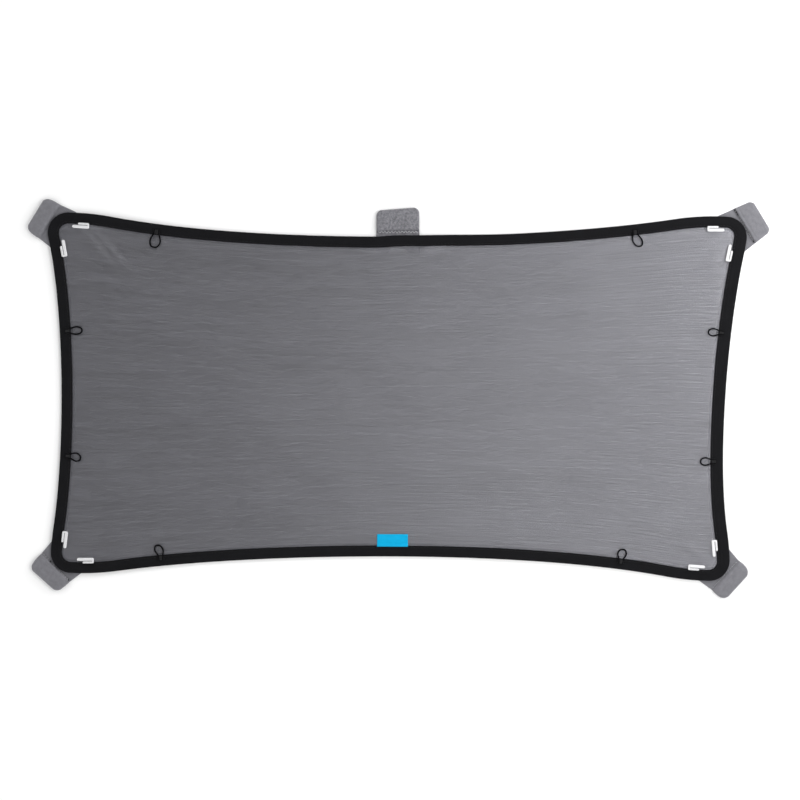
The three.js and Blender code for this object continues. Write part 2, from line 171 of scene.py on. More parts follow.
# Hooks
HOOK_LENGTH = 16.0
HOOK_BAR_LENGTH = 10.6
HOOK_PRONG_WIDTH = 2.8
HOOK_BAR_WIDTH = 1.9
HOOK_GROOVE = 0.5
HOOK_THICKNESS = 2.2
HOOK_ON_BINDING = 1.0
HOOK_STEP_IN = 0.9
HOOK_BACK_RADIUS = 1.2
HOOK_ROUNDING = 0.55

# Loops and label
CORD_SEWN_LENGTH = 5.0
CORD_FOOT_SHARE = 0.45
LABEL_LENGTH = 29.4
LABEL_HEIGHT = 11.2
LABEL_FROM_MIDDLE = 2.4

# How the cloth lies: it sinks where no pouch holds it up, and a few creases run across the knit.
# A crease is its start, its end, its half width and its height, which is below 0 for a dip.
SINK = 0.9
LOWEST = -1.3
HELD_REACH = 70.0
RIPPLES = (0.22, 0.12, 0.10)
CREASES = (
    ((-296.0, 167.0), (-264.0, 127.0), 2.8, 2.4),
    ((-316.0, 138.0), (-311.0, 118.0), 2.0, 1.2),
    ((-306.0, 150.0), (-286.0, 118.0), 3.0, 0.5),
    ((-40.0, 143.0), (-4.0, 144.5), 3.4, 0.5),
    ((18.0, 143.5), (40.0, 146.0), 3.4, 0.7),
    ((-80.0, 141.0), (-46.0, 139.0), 4.0, 0.6),
    ((270.0, -135.0), (292.0, -152.0), 3.5, 0.7),
    ((-292.0, -128.0), (-308.0, -146.0), 3.0, 0.5),
    ((296.0, 128.0), (310.0, 150.0), 3.2, 0.6),
    ((305.0, -120.0), (311.0, 120.0), 3.5, -0.45),
    ((-34.0, 147.0), (-8.0, 147.5), 2.6, -0.3),
)

# The top edge stands a little further out beside the middle pouch, between these places
STEP_HEIGHT = 1.2
STEP_RISE = (-24.0, 2.0)
STEP_FALL = (34.0, 112.0)

# What the camera sees: the frame's middle, and its width at the height of the binding
VIEW_MIDDLE = (0.95, 0.47)
VIEW_WIDTH = 760.0


# Curves of the outline


def blend_between(low, high, share):
    return low + (high - low) * share


def ease(low, high, value):
    """0 below low, 1 above high, and a smooth cubic step between."""
    share = np.clip((value - low) / (high - low), 0, 1)
    return share * share * (3 - 2 * share)


def run_along(points):
    """Distance from the first point to each point, along the row."""
    steps = np.linalg.norm(np.diff(points, axis=0), axis=1)
    return np.concatenate([[0], np.cumsum(steps)])


def unit(vectors):
    return vectors / np.linalg.norm(vectors, axis=-1, keepdims=True)


def turned_left(vectors):
    return np.stack([-vectors[..., 1], vectors[..., 0]], -1)


def corner_arc(index):
    """Centre, first angle and last angle of a corner's arc."""
    corner = CORNERS[index]
    towards = np.array([1 if index in (1, 2) else -1, 1 if index >= 2 else -1])
    centre = towards * (PANEL / 2 - CORNER_RADIUS - np.array(corner["drawn_in"]))
    start = math.radians(180 + 90 * index - corner["tight"][0])
    end = math.radians(270 + 90 * index + corner["tight"][1])
    return centre, start, end


def on_circle(angle):
    return np.stack([np.cos(angle), np.sin(angle)], -1)


def shoulder(centre, meeting, angles):
    """Points of the gentle arc that meets a corner's arc at the angle meeting."""
    middle = centre + (CORNER_RADIUS - SHOULDER_RADIUS) * on_circle(meeting)
    return middle + SHOULDER_RADIUS * on_circle(angles)


def side_at(index, share):
    """Place and direction on a side at each share of its length, and that length.

    The side is a gentle arc, a cubic curve and another gentle arc, one after the other without a
    kink. The cubic curve's handles are a share of its chord long."""
    after = (index + 1) % 4
    centre, _, meets = corner_arc(index)
    next_centre, next_meets, _ = corner_arc(after)
    leaves = meets + math.radians(CORNERS[index]["shoulder"][1])
    arrives = next_meets - math.radians(CORNERS[after]["shoulder"][0])
    first = shoulder(centre, meets, np.linspace(meets, leaves, 120))
    last = shoulder(next_centre, next_meets, np.linspace(arrives, next_meets, 120))
    start, end = first[-1], last[0]
    handle = SIDE_HANDLE * np.linalg.norm(end - start)
    held = start + handle * turned_left(on_circle(leaves))
    next_held = end - handle * turned_left(on_circle(arrives))
    t = np.linspace(0, 1, 801)[:, None]
    middle = (1 - t) ** 3 * start + 3 * (1 - t) ** 2 * t * held
    middle = middle + 3 * (1 - t) * t**2 * next_held + t**3 * end
    curve = np.concatenate([first, middle[1:-1], last])
    run = run_along(curve)
    along = unit(np.gradient(curve, run, axis=0))
    wanted = np.asarray(share) * run[-1]
    place = np.stack([np.interp(wanted, run, curve[:, axis]) for axis in (0, 1)], -1)
    way = np.stack([np.interp(wanted, run, along[:, axis]) for axis in (0, 1)], -1)
    return place, unit(way), run[-1]


def edge_rows(arc_steps, side_steps):
    """Points round the binding's outer edge, the way inwards and the binding's width there."""
    at, inwards, width = [], [], []
    for index in range(4):
        centre, start, end = corner_arc(index)
        share = np.arange(arc_steps) / arc_steps
        outwards = on_circle(blend_between(start, end, share))
        at.append(centre + CORNER_RADIUS * outwards)
        inwards.append(-outwards)
        width.append(blend_between(BINDING_WIDTHS[index - 1], BINDING_WIDTHS[index], share))
        place, way, _ = side_at(index, np.arange(side_steps) / side_steps)
        at.append(place)
        inwards.append(turned_left(way))
        width.append(np.full(side_steps, BINDING_WIDTHS[index]))
    return np.concatenate(at), np.concatenate(inwards), np.concatenate(width)


def stepped(at):
    """The outline with its small step beside the top pouch: one smooth rise, less another."""
    step = STEP_HEIGHT * ease(*STEP_RISE, at[:, 0]) * (1 - ease(*STEP_FALL, at[:, 0]))
    moved = at.copy()
    moved[:, 1] += np.where(at[:, 1] > 0, step, 0)
    return moved


# Where the row frame's origin is: the coarse outline is the one that the solids were made with
_low, _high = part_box("edge_binding")
_outline = edge_rows(8, 24)[0]
_own_middle = (_outline.min(0) + _outline.max(0)) / 2
_row_middle = np.array([(_low[axis] + _high[axis]) / 2 for axis in (0, 1)]) / MM
SHIFT = np.array([*(_row_middle - _own_middle), 0.0])


def to_row(points):
    return (np.asarray(points, float) + SHIFT) * MM


def anchors():
    """Places where a pouch holds the cloth up: the corners' centres and the top edge's middle."""
    spots = [corner_arc(index)[0] for index in range(4)]
    spots.append(side_at(2, np.array([0.5]))[0][0])
    return np.array(spots)


def lay(spots):
    """Height that the cloth gains or loses by the way it lies, at places on the panel.

    It sinks by SINK away from the pouches, with a Gaussian fall-off, ripples as a sum of three
    slow sines with the heights in RIPPLES, and rises or dips along each crease as a Gaussian of
    the distance to it. It stays above LOWEST."""
    flat = np.asarray(spots, float)[..., :2]
    gaps = np.linalg.norm(flat[..., None, :] - anchors(), axis=-1)
    held = np.exp(-((gaps.min(-1) / HELD_REACH) ** 2))
    x, y = flat[..., 0], flat[..., 1]
    ripples = RIPPLES[0] * np.sin(x / 37 + 0.6 * np.sin(y / 41)) * np.cos(y / 58 + 0.4)
    ripples = ripples + RIPPLES[1] * np.sin(x / 13.5 + y / 23) * np.sin(y / 29 + 1.1)
    ripples = ripples + RIPPLES[2] * np.sin(y / 17 - x / 71)
    height = (1 - held) * (ripples - SINK)
    for start, end, half_width, rise in CREASES:
        start, end = np.array(start), np.array(end)
        along = (end - start) / np.linalg.norm(end - start)
        length = np.linalg.norm(end - start)
        run = (flat - start) @ along
        off = (flat - start) @ turned_left(along)
        ends = ease(-0.25 * length, 0.3 * length, run) * (1 - ease(0.6 * length, 1.3 * length, run))
        height = height + rise * np.exp(-((off / half_width) ** 2)) * ends
    return np.maximum(height, LOWEST)


# Meshes


class Shell:
    """Collects grids of points and their cloth coordinates, and makes them one closed mesh."""

    weld = 2e-6

    def __init__(self):
        self.points = []
        self.faces = []
        self.cloth = []
        self.count = 0

    def grid(self, points, cloth=None, wrap_rows=False, wrap_columns=False):
        """Faces between neighbouring points of a grid, or of a stack of grids."""
        points = np.asarray(points, float)
        stack = points if points.ndim == 4 else points[None]
        copies, rows, columns, _ = stack.shape
        index = np.arange(copies * rows * columns).reshape(copies, rows, columns) + self.count
        if wrap_rows:
            index = np.concatenate([index, index[:, :1]], 1)
        if wrap_columns:
            index = np.concatenate([index, index[:, :, :1]], 2)
        corners = (index[:, :-1, :-1], index[:, :-1, 1:], index[:, 1:, 1:], index[:, 1:, :-1])
        faces = np.stack(corners, -1).reshape(-1, 4)
        if cloth is None:
            cloth = np.zeros((index.shape[1], index.shape[2], 2))
        cloth = np.asarray(cloth, float)
        spots = (cloth[:-1, :-1], cloth[:-1, 1:], cloth[1:, 1:], cloth[1:, :-1])
        spots = np.stack(spots, -2).reshape(-1, 2)
        self.points.append(stack.reshape(-1, 3))
        self.faces.extend(faces.tolist())
        self.cloth.append(np.tile(spots, (copies, 1)))
        self.count += copies * rows * columns
        return index

    def lid(self, ring, cloth):
        """One face over a ring of points that are already there."""
        self.faces.append([int(point) for point in ring])
        self.cloth.append(np.asarray(cloth, float))

    def piece(self, name, material, slot, stands_for=None):
        """The mesh as a piece of the shade, its doubles merged and its faces turned outwards.

        stands_for is the solid that the piece replaces."""
        mesh = bpy.data.meshes.new(name)
        mesh.from_pydata(to_row(np.concatenate(self.points)).tolist(), [], self.faces)
        layer = mesh.uv_layers.new(name="Cloth")
        layer.data.foreach_set("uv", np.concatenate(self.cloth).astype(np.float32).ravel())
        work = bmesh.new()
        work.from_mesh(mesh)
        bmesh.ops.remove_doubles(work, verts=work.verts, dist=self.weld)
        bmesh.ops.recalc_face_normals(work, faces=work.faces)
        work.to_mesh(mesh)
        work.free()
        mesh.shade_smooth()
        mesh.materials.append(material)
        made = bpy.data.objects.new(name, mesh)
        bpy.context.scene.collection.objects.link(made)
        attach(made, "root")
        if stands_for:
            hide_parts(stands_for)
        return made


def slab(shell, top, bottom, cloth):
    """A closed plate: an upper and a lower grid, joined round their rims."""
    shell.grid(top, cloth)
    shell.grid(bottom, cloth)
    rims = (
        (top[0], bottom[0], cloth[0]),
        (top[-1], bottom[-1], cloth[-1]),
        (top[:, 0], bottom[:, 0], cloth[:, 0]),
        (top[:, -1], bottom[:, -1], cloth[:, -1]),
    )
    for upper, lower, spots in rims:
        shell.grid(np.stack([upper, lower]), np.stack([spots, spots]))


def tube(shell, path, radius, sides):
    """A tube round a path, with a pole at each end. Its section is a circle across the path."""
    path = np.asarray(path, float)
    along = unit(np.gradient(path, axis=0))
    across = unit(np.cross(along, (0, 0, 1)))
    upwards = np.cross(across, along)
    angle = np.arange(sides) / sides * 2 * np.pi
    ring = np.cos(angle)[:, None, None] * across + np.sin(angle)[:, None, None] * upwards
    run = run_along(path)
    wall = (path + radius * ring).transpose(1, 0, 2)
    first = np.repeat(path[:1], sides, 0)[None]
    last = np.repeat(path[-1:], sides, 0)[None]
    points = np.concatenate([first, wall, last])
    run = np.concatenate([run[:1], run, run[-1:]])
    turn = np.linspace(0, 2 * np.pi * radius, sides + 1)
    cloth = np.stack(np.meshgrid(run, turn, indexing="ij"), -1) * MM
    shell.grid(points, cloth, wrap_columns=True)


def threads(shell, starts, ends, rise, radius, stations=7, sides=6):
    """Stitches: each is a tube on a half-sine arch that thins to a point at both ends."""
    starts, ends = np.asarray(starts, float), np.asarray(ends, float)
    share = np.linspace(0, 1, stations)
    arch = np.sin(np.pi * share)
    path = starts[:, None] + (ends - starts)[:, None] * share[:, None]
    path[..., 2] += rise * arch
    across = unit(np.cross(ends - starts, (0, 0, 1)))[:, None, None]
    angle = np.arange(sides) / sides * 2 * np.pi
    girth = radius * np.sqrt(np.clip(arch, 0, 1))
    sideways = (girth[:, None] * np.cos(angle))[None, ..., None] * across
    upwards = (girth[:, None] * np.sin(angle))[None, ..., None] * np.array([0, 0, 1.0])
    shell.grid(path[:, :, None] + sideways + upwards, wrap_columns=True)


def on_side(side, distance, from_start):
    """A frame on the binding's inner edge: its place, the way to the corner, the way inwards."""
    _, _, length = side_at(side, np.array([0.0]))
    share = distance / length
    place, way, _ = side_at(side, np.array([share if from_start else 1 - share]))
    place, way = stepped(place)[0], way[0]
    inwards = turned_left(way)
    return place + inwards * BINDING_WIDTHS[side], -way if from_start else way, inwards


def row(x, y, z):
    """Points from three coordinates, of which any may be one number for all of them."""
    return np.stack(np.broadcast_arrays(x, y, z), -1).astype(float)


def set_down(local, spot, height=None):
    """Points of a spot's own frame in the shade's frame, lifted by how the cloth lies."""
    place, along, inwards = spot
    flat = place + local[..., :1] * along + local[..., 1:2] * inwards
    lift = lay(flat) if height is None else height
    return np.concatenate([flat, (local[..., 2] + lift)[..., None]], -1)


def sew_down(shell, starts, ends, spot, rise, radius, height=None, **fineness):
    """Stitches given in a spot's own frame."""
    starts, ends = (set_down(points, spot, height) for points in (starts, ends))
    threads(shell, starts, ends, rise, radius, **fineness)


# Node groups and materials


class Nodes:
    """Short ways to add nodes to a tree. A value is a number, a tuple or another socket."""

    def __init__(self, tree):
        self.tree = tree

    def add(self, kind, inputs=None, **settings):
        node = self.tree.nodes.new(kind)
        for name, value in settings.items():
            setattr(node, name, value)
        for name, value in (inputs or {}).items():
            self.put(node.inputs[name], value)
        return node

    def put(self, socket, value):
        if isinstance(value, bpy.types.NodeSocket):
            self.tree.links.new(value, socket)
        else:
            socket.default_value = value

    def maths(self, operation, *values, clamp=False):
        settings = {"operation": operation, "use_clamp": clamp}
        return self.add("ShaderNodeMath", dict(enumerate(values)), **settings).outputs[0]

    def between(self, value, low, high, to_low=0.0, to_high=1.0):
        limits = {1: low, 2: high, 3: to_low, 4: to_high}
        return self.add("ShaderNodeMapRange", {0: value, **limits}).outputs[0]

    def wave(self, value, pitch):
        """A cosine of the value, with the given pitch."""
        turns = self.maths("DIVIDE", self.maths("MULTIPLY", value, math.tau), pitch)
        return self.maths("COSINE", turns)

    def mix(self, one, other, share):
        """A share of one value, and the rest from the other."""
        first = self.maths("MULTIPLY", one, share)
        return self.maths("ADD", first, self.maths("MULTIPLY", other, 1 - share))

    def split(self, vector):
        return self.add("ShaderNodeSeparateXYZ", {0: vector}).outputs

    def join(self, x, y, z=0.0):
        return self.add("ShaderNodeCombineXYZ", {0: x, 1: y, 2: z}).outputs[0]

    def noise(self, vector, scale, detail=2.0, roughness=0.5):
        inputs = {"Vector": vector, "Scale": scale, "Detail": detail, "Roughness": roughness}
        return self.add("ShaderNodeTexNoise", inputs).outputs["Fac"]

    def cloth(self):
        return self.add("ShaderNodeUVMap", uv_map="Cloth").outputs["UV"]

    def object_place(self):
        return self.add("ShaderNodeTexCoord").outputs["Object"]

    def bump(self, height, distance, strength=1.0):
        inputs = {"Height": height, "Distance": distance, "Strength": strength}
        return self.add("ShaderNodeBump", inputs).outputs["Normal"]

    def group(self, tree, **inputs):
        node = self.add("ShaderNodeGroup", node_tree=tree)
        for name, value in inputs.items():
            self.put(node.inputs[name.replace("_", " ")], value)
        return node.outputs


def new_group(name, inputs, outputs):
    """An empty node group with named sockets: its nodes, its input sockets and its output node."""
    tree = bpy.data.node_groups.new(name, "ShaderNodeTree")
    for label, kind, value in inputs:
        socket = tree.interface.new_socket(label, in_out="INPUT", socket_type=kind)
        if value is not None:
            socket.default_value = value
    for label, kind in outputs:
        tree.interface.new_socket(label, in_out="OUTPUT", socket_type=kind)
    nodes = Nodes(tree)
    return nodes, nodes.add("NodeGroupInput").outputs, nodes.add("NodeGroupOutput").inputs


FLOAT = "NodeSocketFloat"
VECTOR = "NodeSocketVector"
COLOUR = "NodeSocketColor"


def knit_group():
    """Open knit: a staggered lattice of holes, where the product of two cosines is large."""
    inputs = (
        ("Cloth", VECTOR, None),
        ("Wale Pitch", FLOAT, 0.0012),
        ("Course Pitch", FLOAT, 0.00105),
        ("Hole Edge", FLOAT, 0.45),
    )
    nodes, given, made = new_group("Open Knit", inputs, (("Yarn", FLOAT), ("Height", FLOAT)))
    x, y, _ = nodes.split(given["Cloth"])
    wales = nodes.wave(x, given["Wale Pitch"])
    lattice = nodes.maths("MULTIPLY", wales, nodes.wave(y, given["Course Pitch"]))
    low = nodes.maths("SUBTRACT", given["Hole Edge"], 0.04)
    high = nodes.maths("ADD", given["Hole Edge"], 0.04)
    nodes.put(made["Yarn"], nodes.between(lattice, low, high, 1.0, 0.0))
    nodes.put(made["Height"], nodes.between(lattice, -1.0, high, 1.0, 0.0))
    return nodes.tree


def streak_group():
    """Uneven yarn: noise drawn out along one way of the cloth."""
    inputs = (("Cloth", VECTOR, None), ("Length", FLOAT, 0.05), ("Width", FLOAT, 0.003))
    nodes, given, made = new_group("Yarn Streaks", inputs, (("Tone", FLOAT),))
    x, y, _ = nodes.split(given["Cloth"])
    along = nodes.maths("DIVIDE", x, given["Length"])
    place = nodes.join(along, nodes.maths("DIVIDE", y, given["Width"]))
    nodes.put(made["Tone"], nodes.between(nodes.noise(place, 1.0, 3.0, 0.6), 0.25, 0.75))
    return nodes.tree


def nap_group():
    """Brushed fibres: soft clumps, with fine fibre on top."""
    inputs = (("Place", VECTOR, None), ("Clump Size", FLOAT, 0.004), ("Fibre Size", FLOAT, 0.0004))
    nodes, given, made = new_group("Fibre Nap", inputs, (("Tone", FLOAT), ("Height", FLOAT)))
    clumps = nodes.noise(given["Place"], nodes.maths("DIVIDE", 1.0, given["Clump Size"]), 3.0, 0.62)
    fibres = nodes.noise(given["Place"], nodes.maths("DIVIDE", 1.0, given["Fibre Size"]), 2.0, 0.7)
    nodes.put(made["Tone"], nodes.between(nodes.mix(clumps, fibres, 0.6), 0.28, 0.72))
    nodes.put(made["Height"], nodes.maths("ADD", fibres, nodes.maths("MULTIPLY", clumps, 2.0)))
    return nodes.tree


def rib_group():
    """Ribs: a cosine across the cloth, and a finer one along it for the weft between them."""
    inputs = (("Cloth", VECTOR, None), ("Rib Pitch", FLOAT, 0.001), ("Weft Pitch", FLOAT, 0.0008))
    nodes, given, made = new_group("Woven Ribs", inputs, (("Height", FLOAT),))
    x, y, _ = nodes.split(given["Cloth"])
    ribs = nodes.maths("MULTIPLY", nodes.wave(y, given["Rib Pitch"]), 0.35)
    weft = nodes.maths("MULTIPLY", nodes.wave(x, given["Weft Pitch"]), 0.15)
    height = nodes.maths("ADD", ribs, weft)
    nodes.put(made["Height"], nodes.maths("ADD", height, 0.5))
    return nodes.tree


def tint_group():
    """A colour made lighter or darker by a tone from 0 to 1, by Spread at most each way."""
    inputs = (("Colour", COLOUR, None), ("Tone", FLOAT, 0.5), ("Spread", FLOAT, 0.2))
    nodes, given, made = new_group("Tone Spread", inputs, (("Colour", COLOUR),))
    low = nodes.maths("SUBTRACT", 1.0, given["Spread"])
    high = nodes.maths("ADD", 1.0, given["Spread"])
    gain = nodes.between(given["Tone"], 0.0, 1.0, low, high)
    scaled = nodes.add("ShaderNodeVectorMath", {0: given["Colour"]}, operation="SCALE")
    nodes.put(scaled.inputs["Scale"], gain)
    nodes.put(made["Colour"], scaled.outputs[0])
    return nodes.tree


GROUP_MAKERS = {
    "knit": knit_group,
    "streaks": streak_group,
    "nap": nap_group,
    "ribs": rib_group,
    "tint": tint_group,
}
_groups = {}


def group(name):
    """A node group, built the first time that it is asked for."""
    if name not in _groups:
        _groups[name] = GROUP_MAKERS[name]()
    return _groups[name]


def new_material(name, **settings):
    """A material with one Principled shader, its constant values set on the sockets."""
    material = bpy.data.materials.new(name)
    material.use_nodes = True
    shader = material.node_tree.nodes["Principled BSDF"]
    for label, value in settings.items():
        shader.inputs[label.replace("_", " ")].default_value = value
    return material, Nodes(material.node_tree), shader.inputs


def tinted(nodes, colour, tone, spread):
    made = nodes.group(group("tint"), Colour=(*colour, 1.0), Tone=tone, Spread=spread)
    return made["Colour"]


def knit_material(colours, sizes):
    """Thin grey warp knit: open between its yarns, its courses uneven in tone and height."""
    settings = {
        "Roughness": 0.33,
        "IOR": 1.9,
        "Specular_IOR_Level": 1.0,
        "Specular_Tint": (0.93, 0.93, 1.0, 1.0),
    }
    material, nodes, shader = new_material("Open knit", **settings)
    cloth = nodes.cloth()
    knit = nodes.group(
        group("knit"),
        Cloth=cloth,
        Wale_Pitch=sizes.wale_pitch,
        Course_Pitch=sizes.course_pitch,
        Hole_Edge=sizes.hole_edge,
    )
    courses = nodes.group(group("streaks"), Cloth=cloth, Length=0.035, Width=0.0018)["Tone"]
    bands = nodes.group(group("streaks"), Cloth=cloth, Length=0.3, Width=0.012)["Tone"]
    tone = nodes.mix(courses, bands, 0.6)
    nodes.put(shader["Base Color"], tinted(nodes, colours.knit, tone, 0.95))
    nodes.put(shader["Alpha"], knit["Yarn"])
    height = nodes.maths("ADD", knit["Height"], nodes.maths("MULTIPLY", courses, 3.0))
    nodes.put(shader["Normal"], nodes.bump(height, 0.00012, 0.7))
    return material


def tape_material(colours, sizes):
    """Black elastic tape: lengthwise ribs, fine weft, a dusty nap."""
    material, nodes, shader = new_material("Elastic tape", Roughness=0.8, Specular_IOR_Level=0.12)
    cloth = nodes.cloth()
    ribs = nodes.group(group("ribs"), Cloth=cloth, Rib_Pitch=sizes.rib_pitch, Weft_Pitch=0.0009)
    nap = nodes.group(group("nap"), Place=nodes.object_place(), Clump_Size=0.012)
    lines = nodes.group(group("streaks"), Cloth=cloth, Length=0.06, Width=0.0012)["Tone"]
    tone = nodes.mix(nap["Tone"], lines, 0.5)
    nodes.put(shader["Base Color"], tinted(nodes, colours.tape, tone, 0.5))
    nodes.put(shader["Normal"], nodes.bump(ribs["Height"], 0.00022, 0.9))
    return material


def felt_material(colours, name="Brushed felt", clump=0.004, spread=0.2):
    """Grey brushed felt: clumped fibres that catch the light at the edges."""
    settings = {"Roughness": 0.9, "Specular_IOR_Level": 0.2, "Sheen_Weight": 0.15}
    material, nodes, shader = new_material(name, **settings)
    nap = nodes.group(group("nap"), Place=nodes.object_place(), Clump_Size=clump)
    nodes.put(shader["Base Color"], tinted(nodes, colours.felt, nap["Tone"], spread))
    nodes.put(shader["Normal"], nodes.bump(nap["Height"], 0.00025, 0.6))
    return material


def cord_material(colours):
    """Black braided elastic cord: two crossing spirals of strands."""
    material, nodes, shader = new_material("Braided cord", Roughness=0.85, Specular_IOR_Level=0.05)
    x, y, _ = nodes.split(nodes.cloth())
    spirals = []
    for operation in ("ADD", "SUBTRACT"):
        slant = nodes.maths("MULTIPLY", nodes.maths(operation, x, y), 5200.0)
        spirals.append(nodes.maths("SINE", slant))
    braid = nodes.between(nodes.maths("MAXIMUM", *spirals), -1.0, 1.0)
    nodes.put(shader["Base Color"], tinted(nodes, colours.cord, braid, 0.4))
    nodes.put(shader["Normal"], nodes.bump(braid, 0.00015, 0.8))
    return material


def thread_material(name, colour):
    """Sewing thread: a fine uneven texture, a little sheen."""
    material, nodes, shader = new_material(name, Roughness=0.5, Specular_IOR_Level=0.3)
    nap = nodes.group(group("nap"), Place=nodes.object_place(), Clump_Size=0.0012)
    nodes.put(shader["Base Color"], tinted(nodes, colour, nap["Tone"], 0.3))
    nodes.put(shader["Normal"], nodes.bump(nap["Height"], 0.00008, 0.6))
    return material


def plastic_material(colours):
    """White moulded plastic: satin, with a faint grain, and slightly lighter or darker in patches.
    """
    settings = {"Roughness": 0.38, "Coat_Roughness": 0.2}
    material, nodes, shader = new_material("Moulded plastic", **settings)
    place = nodes.object_place()
    patches = nodes.noise(place, 160.0, 2.0)
    grain = nodes.noise(place, 3200.0, 2.0)
    nodes.put(shader["Base Color"], tinted(nodes, colours.plastic, patches, 0.08))
    nodes.put(shader["Roughness"], nodes.between(grain, 0.3, 0.7, 0.32, 0.46))
    nodes.put(shader["Normal"], nodes.bump(grain, 0.00003, 0.4))
    return material


def label_material(colours):
    """Cyan woven satin: close ribs along its length, its tone streaked and mottled."""
    settings = {"Roughness": 0.6, "Specular_IOR_Level": 0.1}
    material, nodes, shader = new_material("Woven label", **settings)
    cloth = nodes.cloth()
    ribs = nodes.group(group("ribs"), Cloth=cloth, Rib_Pitch=0.00045, Weft_Pitch=0.0006)
    lines = nodes.group(group("streaks"), Cloth=cloth, Length=0.008, Width=0.0005)["Tone"]
    nap = nodes.group(group("nap"), Place=nodes.object_place(), Clump_Size=0.003)
    tone = nodes.mix(lines, nap["Tone"], 0.5)
    nodes.put(shader["Base Color"], tinted(nodes, colours.label, tone, 0.16))
    nodes.put(shader["Normal"], nodes.bump(ribs["Height"], 0.0001, 0.8))
    return material


def magnet_material():
    """Nickel plated block, its roughness varied by a fine noise."""
    settings = {"Base_Color": (0.55, 0.55, 0.57, 1.0), "Metallic": 1.0}
    material, nodes, shader = new_material("Nickel plating", **settings)
    scratches = nodes.noise(nodes.object_place(), 900.0, 3.0)
    nodes.put(shader["Roughness"], nodes.between(scratches, 0.3, 0.7, 0.22, 0.4))
    return material


def floor_material(colour):
    """Plain pale floor with the faintest unevenness."""
    material, nodes, shader = new_material("Pale floor", Roughness=0.9, Specular_IOR_Level=0.0)
    clouds = nodes.noise(nodes.object_place(), 1.5, 2.0)
    nodes.put(shader["Base Color"], tinted(nodes, colour, clouds, 0.01))
    return material


# Properties


def length(name, description, default):
    return FloatProperty(name=name, description=description, default=default, unit="LENGTH")


def power(name, description, default):
    return FloatProperty(name=name, description=description, default=default, unit="POWER")


def number(name, description, default):
    return FloatProperty(name=name, description=description, default=default)


def colour(name, description, default):
    settings = {"name": name, "description": description, "default": default}
    return FloatVectorProperty(subtype="COLOR", **settings)


def spot_in_room(name, description, default):
    settings = {"name": name, "description": description, "default": default}
    return FloatVectorProperty(subtype="TRANSLATION", **settings)


class ShadeSizes(PropertyGroup):
    wale_pitch: length(
        "Wale pitch", "Distance between two holes of the knit along a course", 0.0012
    )
    course_pitch: length(
        "Course pitch", "Distance between two holes of the knit across its courses", 0.00105
    )
    hole_edge: FloatProperty(
        name="Hole edge",
        description="Level of the pattern above which the knit is open: higher makes smaller holes",
        default=0.45,
        min=0.05,
        max=0.95,
    )
    knit_thickness: length("Knit thickness", "Thickness of the screen's knit", 0.0003)
    rib_pitch: length("Rib pitch", "Distance between two ribs of the elastic tape", 0.00105)
    stitch_length: length(
        "Stitch length", "Length of one stitch along the binding, with the gap after it", 0.0032
    )
    thread_radius: length("Thread radius", "Half the thickness of the sewing thread", 0.00017)
    cord_diameter: length("Cord diameter", "Thickness of the elastic cord in the loops", 0.0014)
    tack_stitches: IntProperty(
        name="Tack stitches",
        description="Stitches that hold down each cord loop",
        default=9,
        min=3,
    )


class ShadeColours(PropertyGroup):
    knit: colour("Knit", "Colour of the screen's yarn", (0.041, 0.041, 0.048))
    tape: colour("Tape", "Colour of the elastic binding", (0.0040, 0.0040, 0.0050))
    felt: colour("Felt", "Colour of the magnet pouches", (0.150, 0.149, 0.163))
    cord: colour("Cord", "Colour of the elastic cord", (0.002, 0.002, 0.0025))
    dark_thread: colour("Dark thread", "Colour of the thread on the binding", (0.008, 0.008, 0.009))
    pale_thread: colour("Pale thread", "Colour of the thread on the pouches", (0.50, 0.50, 0.52))
    plastic: colour("Plastic", "Colour of the moulded hooks", (0.62, 0.62, 0.63))
    label: colour("Label", "Colour of the bare woven label", (0.001, 0.335, 0.59))
    floor: colour("Floor", "Colour of the floor", (0.9, 0.9, 0.9))


class ShadeStage(PropertyGroup):
    lens: number("Lens", "Focal length of the camera, in millimetres", 85.0)
    walls: number("Walls", "Strength of the light from the studio's pale walls all round", 1.72)
    ceiling: number("Ceiling", "Strength of the light from the studio's darker ceiling", 0.2)
    key_power: power("Key power", "Power of the low light at the upper right", 1.6)
    key_place: spot_in_room("Key place", "Where the low light stands", (0.60, 0.30, 0.324))
    key_size: length("Key size", "Side of the low light's square face", 0.12)
    gloss_power: power(
        "Gloss power", "Power of the high light that shows as a sheen at the knit's right end", 2.35
    )
    gloss_place: spot_in_room("Gloss place", "Where the high light stands", (0.44, -0.05, 0.76))
    gloss_size: length("Gloss size", "Side of the high light's square face", 0.25)


# Operators, in the order in which they run


class ShadeOperator:
    """What all the operators share: the scene's sizes and colours."""

    bl_options = {"REGISTER", "UNDO"}

    def values(self, context):
        scene = context.scene
        return scene.shade_sizes, scene.shade_colours, scene.shade_stage


